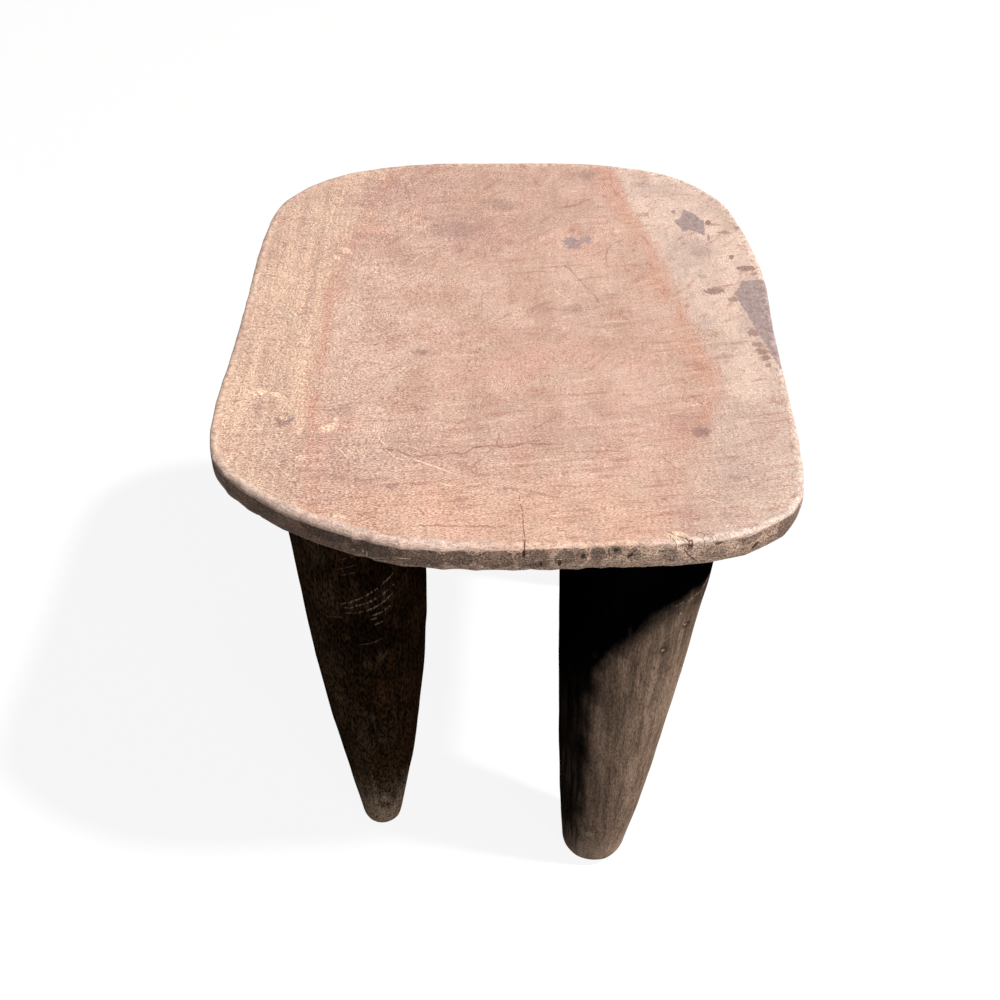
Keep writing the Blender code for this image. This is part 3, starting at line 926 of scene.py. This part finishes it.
    rim_tone = eased(rim_grain, 0.36, 0.64, -0.5, 0.5) * 0.35 + 1.0
    rim_tone = eased(rim_fine, 0.3, 0.7, -0.5, 0.5) * blended(0.45, 1.15, side) + rim_tone
    tone = over(eased(from_crest, -0.002, 0.0005), top_tone, rim_tone)
    wood = over(1.0, wood, tone, "MULTIPLY")

    # Roughness and relief
    rough = eased(clouds(place, 0.02, 51.0), 0.3, 0.7, 0.7, 0.85)
    rough = rough - patina * 0.15
    relief = crisp * 0.16 + broad * 0.4
    relief = relief * ((1.0 - side) * near_crest)
    relief = side * rim_grain * 0.7 + relief
    bump = {"Height": relief, "Strength": 0.5, "Distance": 0.0006}
    return finish_wood(material, wood, rough, 0.22, bump)


def make_cut_group():
    """Adze cuts: shallow round-bottomed facets that meet in soft ridges."""
    group, given, result = effect_group("adze_cuts", {
        "Place": ORIGIN, "Cut Size": (0.02, 0.02, 0.06), "Cut Depth": 0.001, "Seed": 0.0,
    }, {"Depth": "NodeSocketFloat"}, "GeometryNodeTree")
    cell = given["Place"] / given["Cut Size"] + joined(group, given["Seed"], given["Seed"])
    inputs = {"Vector": cell, "Scale": 1.0, "Randomness": 0.85}
    reach = outcome(group, "ShaderNodeTexVoronoi", inputs, "Distance") / 0.85
    feed(result, {"Depth": greatest(1.0 - reach * reach, 0.0) * given["Cut Depth"]})
    return group


CUTS = make_cut_group()


def adze_cuts(place, given):
    """Places the cuts in a tree, by the sizes that the tree is given."""
    inputs = {name: given[name] for name in ("Cut Size", "Cut Depth", "Seed")}
    return outcome(place.tree, "GeometryNodeGroup", {"Place": place, **inputs}, node_tree=CUTS)


def set_inputs(modifier, values):
    """Sets the named inputs of a modifier's tree, by the identifier of each socket."""
    for item in modifier.node_group.interface.items_tree:
        if item.item_type == "SOCKET" and item.in_out == "INPUT" and item.name in values:
            modifier[item.identifier] = values[item.name]


def add_object(name, data):
    """An object in the scene, at the origin."""
    made = bpy.data.objects.new(name, data)
    bpy.context.scene.collection.objects.link(made)
    return made


def grown_piece(name, mesh, tree, values):
    """A piece whose plain mesh is what the tree makes of a mesh and the given sizes."""
    piece = add_object(name, mesh)
    modifier = piece.modifiers.new(tree.name, "NODES")
    modifier.node_group = tree
    set_inputs(modifier, values)
    graph = bpy.context.evaluated_depsgraph_get()
    made = piece.evaluated_get(graph)
    plain = bpy.data.meshes.new_from_object(made, preserve_all_data_layers=True, depsgraph=graph)
    piece.modifiers.clear()
    piece.data = plain
    plain.name = name
    return piece


def close_tree(geometry, wood, result):
    """Ends a tree: smooth faces, real instances, and the wood's material."""
    tree = geometry.tree
    smooth = outcome(tree, "GeometryNodeSetShadeSmooth", {"Geometry": geometry})
    real = outcome(tree, "GeometryNodeRealizeInstances", {"Geometry": smooth})
    done = outcome(tree, "GeometryNodeSetMaterial", {"Geometry": real, "Material": wood})
    feed(result, {"Geometry": done})
    return tree


def make_underside_tree():
    """Hews the underside: adze cuts along the grain, fading out at the rim and the legs."""
    tree, given, result = effect_group("hewn_underside", {
        "Geometry": "NodeSocketGeometry", "Cut Size": (0.026, 0.070, 0.02), "Cut Depth": 0.0012,
        "Seed": 0.0, "Wood": "NodeSocketMaterial",
    }, {"Geometry": "NodeSocketGeometry"}, "GeometryNodeTree")
    place = outcome(tree, "GeometryNodeInputPosition")
    share = outcome(tree, "GeometryNodeInputNamedAttribute", {"Name": "hewn_share"},
                    data_type="FLOAT")
    rise = joined(tree, 0.0, 0.0, adze_cuts(place, given) * share)
    moved = {"Geometry": given["Geometry"], "Offset": rise}
    moved = outcome(tree, "GeometryNodeSetPosition", moved)
    return close_tree(moved, given["Wood"], result)


def make_seat():
    """Lofts, carves and hews the seat, and keeps on it what its wood's pattern follows."""
    points, ways, from_crest, hollow, facet_depth = seat_rows()
    rows = carved_rows(points, ways, from_crest, hollow, facet_depth)
    middles = [(0, 0, rows[end, :, 2].mean()) for end in (0, -1)]
    mesh = lofted_mesh("seat_carving", rows, *middles)
    plan = rows[..., :2]
    left_line = np.interp(plan[..., 1], HEART_LINE_PLACES, HEART_LEFT_LINE)
    right_line = np.interp(plan[..., 1], HEART_LINE_PLACES, HEART_RIGHT_LINE)
    patina = np.maximum(depth_inside(plan, PATINA_WEDGE), depth_inside(plan, PATINA_PATCH))
    roots = [sum(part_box(leg), Vector()).xy / 2 for leg in LEG_NODES]
    from_roots = np.min([np.linalg.norm(plan - root, axis=-1) for root in roots], axis=0)
    hewn = soft_step(from_crest, 0.030, 0.040) * soft_step(from_roots, 0.060, 0.078)
    for name, values, ends in (
            ("from_crest", from_crest, (-0.2, 0.25)),
            ("hollow", np.broadcast_to(hollow, from_crest.shape), (0, 0)),
            ("inside_left_line", plan[..., 0] - left_line, (0.13, 0.13)),
            ("inside_right_line", right_line - plan[..., 0], (0.13, 0.13)),
            ("patina_depth", patina, (-0.1, -0.1)),
            ("hewn_share", hewn, (0, 1))):
        keep_values(mesh, name, values, ends)
    values = {"Cut Size": (0.026, 0.070, 0.020), "Cut Depth": 0.0012, "Seed": 3.0,
              "Wood": seat_wood()}
    return grown_piece("carved_seat", mesh, make_underside_tree(), values)


LEG_NODES = ("leg_front_left", "leg_front_right", "leg_back_left", "leg_back_right")
seat = make_seat()
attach(seat, "root")
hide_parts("seat")

# The legs. Each is worked down from the log with the adze to a long taper, and left full
# at the root, where it grows out of the seat. Smoke and handling have blackened them, and on
# the front legs the black also paints the seat's shadow; their outer sides are rubbed brown,
# with painted light on them, and their feet are worn, split and dusty, the front-left foot
# also painted lighter as if lit.
LEG_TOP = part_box("leg_front_left")[1].z
LEG_MEASURES = ("Root", "Lean", "Bow", "Root Radius", "Foot Radius", "Taper Power", "Seed")
LEG_SHAPES = {node: dict(zip(LEG_MEASURES, row)) for node, row in zip(LEG_NODES, (
    ((-0.1025, -0.1341, 0.0), (-0.0030, -0.0020, 0.0), 0.0030, 0.0453, 0.0121, 2.03, 1.0),
    ((0.0865, -0.15795, 0.0), (-0.0145, -0.0045, 0.0), 0.0010, 0.0493, 0.0232, 1.53, 4.0),
    ((-0.0970, 0.14805, 0.0), (-0.0080, 0.0040, 0.0), 0.0020, 0.0470, 0.0160, 1.75, 8.0),
    ((0.0940, 0.1440, 0.0), (0.0040, 0.0060, 0.0), -0.0020, 0.0480, 0.0174, 1.85, 12.0),
))}


def make_leg_tree():
    """One leg as a rule: a unit cylinder drawn out along a leaning, bowed, tapering line."""
    tree, get, result = effect_group("hewn_leg", {
        "Geometry": "NodeSocketGeometry", "Height": LEG_TOP, "Root": ORIGIN, "Lean": ORIGIN,
        "Bow": 0.0, "Root Radius": 0.048, "Foot Radius": 0.016, "Taper Power": 1.8,
        "Fillet Width": 0.005, "Fillet Height": 0.034, "Foot Rounding": 0.014,
        "Sole Share": 0.58, "Root Squareness": 2.25, "Points Around": 176, "Rows Up": 260,
        "Cut Size": (0.021, 0.021, 0.085), "Cut Depth": 0.0010, "Seed": 0.0, "Fullness": 0.0030,
        "Wood": "NodeSocketMaterial",
    }, {"Geometry": "NodeSocketGeometry"}, "GeometryNodeTree")
    blank = outcome(tree, "GeometryNodeMeshCylinder", {
        "Vertices": get["Points Around"], "Side Segments": get["Rows Up"], "Fill Segments": 6,
        "Radius": 1.0, "Depth": 1.0}, "Mesh", fill_type="TRIANGLE_FAN")
    place = outcome(tree, "GeometryNodeInputPosition")
    level = place * (1.0, 1.0, 0.0)
    way = reckon("NORMALIZE", level)
    up = greatest(split(place)[2] + 0.5, 0.0) ** 1.2
    down = 1.0 - up
    height = up * get["Height"]

    swell = get["Root Radius"] - get["Foot Radius"]
    radius = swell * (1.0 - down ** get["Taper Power"]) + get["Foot Radius"]
    rounding = greatest(1.0 - height / get["Foot Rounding"], 0.0) ** 2.0
    radius = radius * (1.0 - rounding * (1.0 - get["Sole Share"]))
    from_top = (get["Height"] - height) / get["Fillet Height"]
    radius = get["Fillet Width"] * greatest(1.0 - from_top, 0.0) ** 2.6 + radius
    square = (get["Root Squareness"] - 2.0) * up + 2.0
    sides = [abs(side) ** square for side in split(way)[:2]]
    fullness = greatest(sides[0] + sides[1], 0.001) ** (-1.0 / square)
    reach = reckon("LENGTH", level) * (radius * fullness)

    bow = joined(tree, down * up * 4.0 * get["Bow"])
    axis = get["Root"] + get["Lean"] * down + bow
    shaped = axis + way * reach + joined(tree, 0.0, 0.0, height)
    drawn = {"Geometry": blank, "Position": shaped}
    drawn = outcome(tree, "GeometryNodeSetPosition", drawn)
    outward = reckon("NORMALIZE", get["Root"] * (1.0, 0.35, 0.0))
    marked = {"Geometry": drawn, "Name": "outer_side",
              "Value": reckon("DOT_PRODUCT", way, outward)}
    marked = outcome(tree, "GeometryNodeStoreNamedAttribute", marked, data_type="FLOAT",
                     domain="POINT")

    now = outcome(tree, "GeometryNodeInputPosition")
    height = split(now)[2]
    depth = plain_noise(now, 16.0) * 0.0022 + adze_cuts(now, get) - get["Fullness"]
    depth = depth * (eased(get["Height"] - height, 0.0, 0.030) * eased(height, 0.0, 0.010))
    axis = get["Root"] + get["Lean"] * (1.0 - height / get["Height"])
    inward = reckon("NORMALIZE", (axis - now) * (1.0, 1.0, 0.0))
    hewn = {"Geometry": marked, "Offset": inward * depth}
    return close_tree(outcome(tree, "GeometryNodeSetPosition", hewn), get["Wood"], result)


# Marks on the front of the front legs, by their places across and up: cuts of the tool,
# splits, and on the right leg knots.
LEG_MARKS = {
    "leg_front_left": (
        (6, 100, -1110, 3125, -980, 3190, -860, 3270, -750, 3370),
        (7, 100, -1100, 3085, -960, 3135, -850, 3190, -755, 3260),
        (7, 100, -1090, 3035, -960, 3060, -860, 3105, -770, 3180),
        (6, 90, -920, 3010, -850, 3030, -785, 3075), (6, 90, -905, 2915, -840, 2940),
        (5, 70, -930, 2975, -880, 2985), (5, 60, -1020, 2710, -940, 2725, -860, 2765),
        (5, 50, -1120, 3460, -980, 3520), (5, 50, -1100, 3410, -990, 3450),
        (5, 40, -1080, 3560, -980, 3600), (5, 40, -1250, 2960, -1110, 2990),
        (8, 60, -1080, 1100, -1040, 760, -1050, 460),
    ),
    "leg_front_right": (
        (8, 100, 1310, 3460, 1250, 3400, 1205, 3395, 1165, 3360),
        (6, 70, 1165, 3360, 1120, 3385, 1070, 3370),
        (7, 80, 985, 1080, 960, 850, 940, 600, 920, 410),
        (5, 50, 1070, 2700, 1060, 2450, 1035, 2200), (6, 60, 710, 620, 705, 480),
    ),
}
RIGHT_LEG_KNOTS = (
    (1170, 3100, 30, 32, 0, 90), (1030, 2920, 38, 50, 0, 70), (1070, 3410, 22, 15, 0, 90),
    (1110, 3280, 16, 20, 20, 80), (980, 2760, 14, 20, 0, 50),
)
# Painted highlights on the knots, and one lower on the leg
KNOT_GLINTS = (
    (1173, 3104, 11, 10, 0, 100), (1033, 2926, 11, 11, 0, 100), (1120, 3270, 8, 8, 0, 80),
    (660, 540, 28, 40, 0, 60),
)
MARK_DEPTH = 0.0011

# Where the black smoke patina lies on each leg, as an outline seen from the front. On the
# front legs it also paints the seat's shadow: on the right leg the outline follows that
# shadow's edge, and the left leg, which stands in it, is black nearly down to its foot.
SMOKE_AND_SHADOW_OUTLINES = {
    "leg_front_left": outline(
        -3000, 340, -1270, 360, -1120, 200, -1000, 360, 3000, 360, 3000, 5000, -3000, 5000,
    ),
    "leg_front_right": outline(
        1600, 3470, 1240, 3420, 1170, 3430, 1050, 3390, 970, 3300, 890, 3170, 800, 3060,
        710, 2925, 650, 2800, 605, 2580, 590, 2320, 585, 1970, 600, 1590, 600, 1090, 570, 500,
        480, 160, -500, 120, -500, 5000, 1600, 5000,
    ),
    "leg_back_left": outline(
        -1100, 500, 500, 500, 500, 5000, -2000, 5000, -2000, 3300, -1180, 2400,
    ),
    "leg_back_right": outline(
        1100, 500, -500, 500, -500, 5000, 2000, 5000, 2000, 3300, 1120, 2400,
    ),
}


def carve_leg(piece, node):
    """Cuts a leg's marks into its front, and keeps how deep each place lies in the smoke patina
    and painted shadow.
    """
    count = len(piece.data.vertices)
    points = np.empty(count * 3)
    piece.data.vertices.foreach_get("co", points)
    points = points.reshape(-1, 3)
    seen = points[:, [0, 2]]
    cut = np.zeros(count)
    for start, end, half_width, strength in stroke_list(LEG_MARKS.get(node, ())):
        way = np.subtract(end, start)
        share = np.clip((seen - start) @ way / (way @ way), 0, 1)
        gap = np.linalg.norm(seen - start - share[:, None] * way, axis=1)
        cut = np.maximum(cut, strength * np.clip(1.2 - gap / (2.2 * half_width), 0, 1))
    for *numbers, _, strength in RIGHT_LEG_KNOTS if node == "leg_front_right" else ():
        middle, half_sizes = outline(*numbers)
        gap = np.linalg.norm((seen - middle) / half_sizes, axis=1)
        cut = np.maximum(cut, strength * PERCENT * np.clip(1.2 - gap, 0, 1))
    cut *= soft_step(LEG_SHAPES[node]["Root"][1] - points[:, 1], 0.002, 0.012) * MARK_DEPTH
    points[:, 1] += cut
    piece.data.vertices.foreach_set("co", points.ravel())
    smoke_and_shadow = depth_inside(seen, SMOKE_AND_SHADOW_OUTLINES[node])
    piece.data.attributes.new("smoke_and_shadow_depth", "FLOAT", "POINT").data.foreach_set("value", smoke_and_shadow)
    piece.data.update()


def leg_wood(node, worn_tint, black_tint, brown_tint, tip_tint, fine_contrast, rubbed_and_lit_top,
             dust_and_lit_foot_top, edge_wear_and_sheen_share):
    """A leg's wood: black patina, on the front legs also painted shadow, streaked along the grain,
    rubbed brown and painted lit on its outer side.
    """
    material, place = new_wood(node + "_wood")
    across, along, height = split(place)
    front = joined(place.tree, across, height)
    outer = kept(place, "outer_side")

    def share_of(share):
        return (*[share * value for value in worn_tint[:3]], 1.0)

    streaks = clouds(place, (0.004, 0.004, 0.08), 2.0, 3.0, 0.65)
    facets = clouds(place, (0.016, 0.016, 0.13), 9.0, 3.0, 0.5)
    blotches = clouds(place, (0.014, 0.014, 0.03), 4.0, 4.0, 0.6)
    mottle = clouds(place, (0.0018, 0.0018, 0.003), 6.0, 3.0, 0.65)
    worn = over(eased(streaks, 0.36, 0.62), share_of(0.58), share_of(1.08))
    worn = over(eased(facets, 0.46, 0.58, 0.0, 0.8), worn, share_of(0.46))
    worn = over(eased(blotches, 0.46, 0.64, 0.0, 0.6), worn, share_of(0.42))
    # Darker near the root: painted shade under the seat; and darker towards the bottom
    worn = over(eased(height, 0.285, 0.335, 0.0, 0.32), worn, share_of(0.4))
    worn = over(eased(height, 0.24, 0.06, 0.0, 0.25), worn, share_of(0.42))
    # Lighter on the outer side low down: wear and painted light
    handled_and_lit_side = eased(outer, 0.62, 0.97) * eased(height, 0.3, 0.22)
    worn = over(handled_and_lit_side * eased(streaks, 0.34, 0.56, 0.25, 0.75), worn, share_of(1.55))

    # The black smoke over it, which on the front legs also paints the seat's shadow; thin where
    # the leg is rubbed and painted lit, and at its worn edges with their painted sheen; and the
    # dust, which on the front-left foot also paints light
    wander = (blotches - 0.5) * 0.016
    # Smoke patina, and on the front legs painted shadow of the seat
    smoked_and_shaded = eased(kept(place, "smoke_and_shadow_depth") + wander, -0.009, 0.0065)
    # Rubbed brown on the outer side, where the inner side stays dark: wear, painted light and
    # painted shade
    rubbed_and_lit_side = eased(blotches * 0.5 + outer, 1.06, 1.24)
    rubbed_and_lit_side = rubbed_and_lit_side * eased(height, rubbed_and_lit_top, rubbed_and_lit_top - 0.02)
    lower = eased(height, 0.3, 0.05)
    black = over(lower * eased(streaks, 0.38, 0.62, 0.15, 0.9), black_tint, share_of(0.48))
    broad = clouds(place, (0.03, 0.03, 0.05), 14.0, 2.0, 0.5)
    black = over(eased(streaks * 0.5 + broad, 0.66, 0.96), black, brown_tint)
    black = over(rubbed_and_lit_side * 0.5, black, worn_tint)
    # Paler at the edges the leg turns away: wear and painted sheen
    worn_and_sheen_edges = eased(abs(outer), 0.8, 1.0, 0.0, edge_wear_and_sheen_share)
    black = over(worn_and_sheen_edges, black, share_of(0.5))
    wood = over(smoked_and_shaded, worn, black)
    # Dust on the feet; on the front-left leg it also paints the light that reaches its foot
    dust_and_lit_foot = eased(streaks * -0.05 + height, dust_and_lit_foot_top, -0.022)
    dust_and_lit_foot = dust_and_lit_foot * eased(blotches, 0.34, 0.56, 0.25, 1.0)
    wood = over(dust_and_lit_foot, wood, tip_tint)

    # The fine grain, and the marks on the front
    fine = fibre(place, (0.0011, 0.0011, 0.0046), 0.004, 0.02)
    grain_depth = dust_and_lit_foot * (-0.65 * fine_contrast) + fine_contrast
    tone = eased(fine, 0.36, 0.64, -0.5, 0.5) * grain_depth + 1.0
    tone = eased(mottle, 0.36, 0.64, -0.5, 0.5) * 0.26 + tone
    relief = fine * 0.6 + streaks * 0.9
    middle = LEG_SHAPES[node]["Root"][1]
    facing_front = eased(along, middle, middle - 0.02)
    if node in LEG_MARKS:
        cut = strokes(front, LEG_MARKS[node]) * facing_front
        broken = eased(mottle, 0.36, 0.52)
        lip = front + (0.0, 0.0007, 0.0)
        lip = strokes(lip, LEG_MARKS[node]) * facing_front * broken
        wood = over(cut * 0.6, wood, tint(16, 12, 11))
        lip_tint = tint(112, 100, 88) if node == "leg_front_left" else tint(178, 154, 136)
        wood = over(lip * 0.75, wood, lip_tint)
    if node == "leg_front_right":
        tear = clouds(place, 0.0022, 4.0, 2.0, 0.6) - 0.5
        knot = stains(front, RIGHT_LEG_KNOTS, tear, 0.5) * facing_front
        wood = over(knot * 0.75, wood, tint(40, 32, 28))
        glint = stains(front, KNOT_GLINTS, tear) * facing_front
        wood = over(glint, wood, tint(176, 160, 146))
    wood = over(1.0, wood, tone, "MULTIPLY")
    rough = eased(blotches, 0.3, 0.7, 0.62, 0.8)
    bump = {"Height": relief, "Strength": 0.7, "Distance": 0.0008}
    return finish_wood(material, wood, rough, 0.0, bump)


# Each leg's worn, black, brown and dusty tints, the black on the front legs also painting the
# seat's shadow; its grain's contrast; how high its rubbed and painted-lit side and its dust
# reach, the dust on the front-left foot also painting light; and how far the black is worn
# off and painted with sheen at the edges it turns away.
LEG_LOOKS = {
    "leg_front_left": (tint(106, 84, 63), tint(24, 14, 7), tint(50, 32, 20), tint(178, 152, 132),
                       1.40, 0.420, 0.072, 0.75),
    "leg_front_right": (tint(144, 120, 103), tint(3, 3, 5), tint(9, 7, 7), tint(182, 156, 138),
                        0.42, 0.335, 0.030, 0.0),
    "leg_back_left": (tint(118, 99, 85), tint(28, 20, 15), tint(46, 34, 26), tint(152, 130, 112),
                      0.8, 0.340, 0.040, 0.3),
    "leg_back_right": (tint(128, 108, 94), tint(26, 20, 16), tint(44, 34, 26),
                       tint(156, 134, 116), 0.8, 0.340, 0.040, 0.3),
}
LEG_COUNTS = {"leg_front_left": (250, 330), "leg_front_right": (260, 320)}
leg_woods = {node: leg_wood(node, *looks) for node, looks in LEG_LOOKS.items()}
leg_tree = make_leg_tree()
for node, shape in LEG_SHAPES.items():
    around, rows_up = LEG_COUNTS.get(node, (180, 240))
    values = {**shape, "Height": LEG_TOP, "Points Around": around, "Rows Up": rows_up,
              "Cut Size": (0.021, 0.021, 0.085), "Cut Depth": 0.0014, "Wood": leg_woods[node]}
    leg = grown_piece("hewn_" + node, bpy.data.meshes.new(node), leg_tree, values)
    carve_leg(leg, node)
    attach(leg, "root")
    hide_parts(node)

# The floor and the light. The stool stands on a plain pale floor that the camera sees as
# white, with the stool's own shadow on it. A soft lamp stands high on the right.
FLOOR_HALF_SIDE = 8.0
FLOOR_GAP = 0.0002
FLOOR_GREY = 0.14
FLOOR_GLOW = 0.89
ROOM_LIGHT = 0.13
LAMP_TINT = (1.0, 0.985, 0.965)


def white_to_the_camera(tree, low, high):
    """A number that is high for the camera, in gloss and through glass, and low elsewhere."""
    rays = ("Is Camera Ray", "Is Glossy Ray", "Is Transmission Ray")
    seen = greatest(*[outcome(tree, "ShaderNodeLightPath", None, ray) for ray in rays])
    return seen * (high - low) + low


def make_floor():
    """A flat pale floor, a hair below the soles."""
    side = FLOOR_HALF_SIDE
    ends = ((-side, -side), (side, -side), (side, side), (-side, side))
    mesh = bpy.data.meshes.new("floor")
    mesh.from_pydata([(x, y, -FLOOR_GAP) for x, y in ends], [], [(0, 1, 2, 3)])
    material = bpy.data.materials.new("pale_floor")
    material.use_nodes = True
    feed(material.node_tree.nodes["Principled BSDF"], {
        "Base Color": (*[FLOOR_GREY] * 3, 1.0), "Roughness": 0.9, "Specular IOR Level": 0.0,
        "Emission Color": (1.0, 1.0, 1.0, 1.0),
        "Emission Strength": white_to_the_camera(material.node_tree, 0.0, FLOOR_GLOW)})
    mesh.materials.append(material)
    return add_object("floor", mesh)


floor = make_floor()

LAMP_AIM = Vector((0.0, 0.0, 0.30))
KEY_LAMP = {"turn": 72, "rise": 58, "distance": 6.0, "size": 0.36, "power": 365.0}
FRONT_LAMP = {"turn": 32, "rise": 20, "distance": 4.0, "size": 2.0, "power": 48.0}


def add_lamp(name, turn, rise, distance, size, power):
    """A round soft lamp, so many degrees right of the front and above the level."""
    data = bpy.data.lights.new(name, "AREA")
    data.shape = "DISK"
    data.size = size
    data.energy = power
    data.color = LAMP_TINT
    turn, rise = math.radians(turn), math.radians(rise)
    way = Vector((math.sin(turn) * math.cos(rise), -math.cos(turn) * math.cos(rise),
                  math.sin(rise)))
    lamp = add_object(name, data)
    lamp.location = LAMP_AIM + way * distance
    lamp.rotation_euler = way.to_track_quat("Z", "Y").to_euler()


add_lamp("key_lamp", **KEY_LAMP)
add_lamp("front_lamp", **FRONT_LAMP)

world = bpy.data.worlds.new("soft_room")
bpy.context.scene.world = world
world.use_nodes = True
feed(world.node_tree.nodes["Background"], {
    "Color": (1.0, 1.0, 1.0, 1.0),
    "Strength": white_to_the_camera(world.node_tree, ROOM_LIGHT, 1.0)})

# The camera stands in front of the seat and above it, where the photograph was taken
CAMERA_PLACE = (-0.005, -0.7476, 0.928)
CAMERA_PITCH_DOWN = math.radians(42.5)
CAMERA_LENS = 45.0

camera_data = bpy.data.cameras.new("camera")
camera_data.lens = CAMERA_LENS
camera_data.sensor_width = 36.0
camera = add_object("camera", camera_data)
camera.location = CAMERA_PLACE
camera.rotation_euler = (math.pi / 2 - CAMERA_PITCH_DOWN, 0.0, 0.0)
bpy.context.scene.camera = camera
bpy.context.scene.view_settings.view_transform = "Standard"
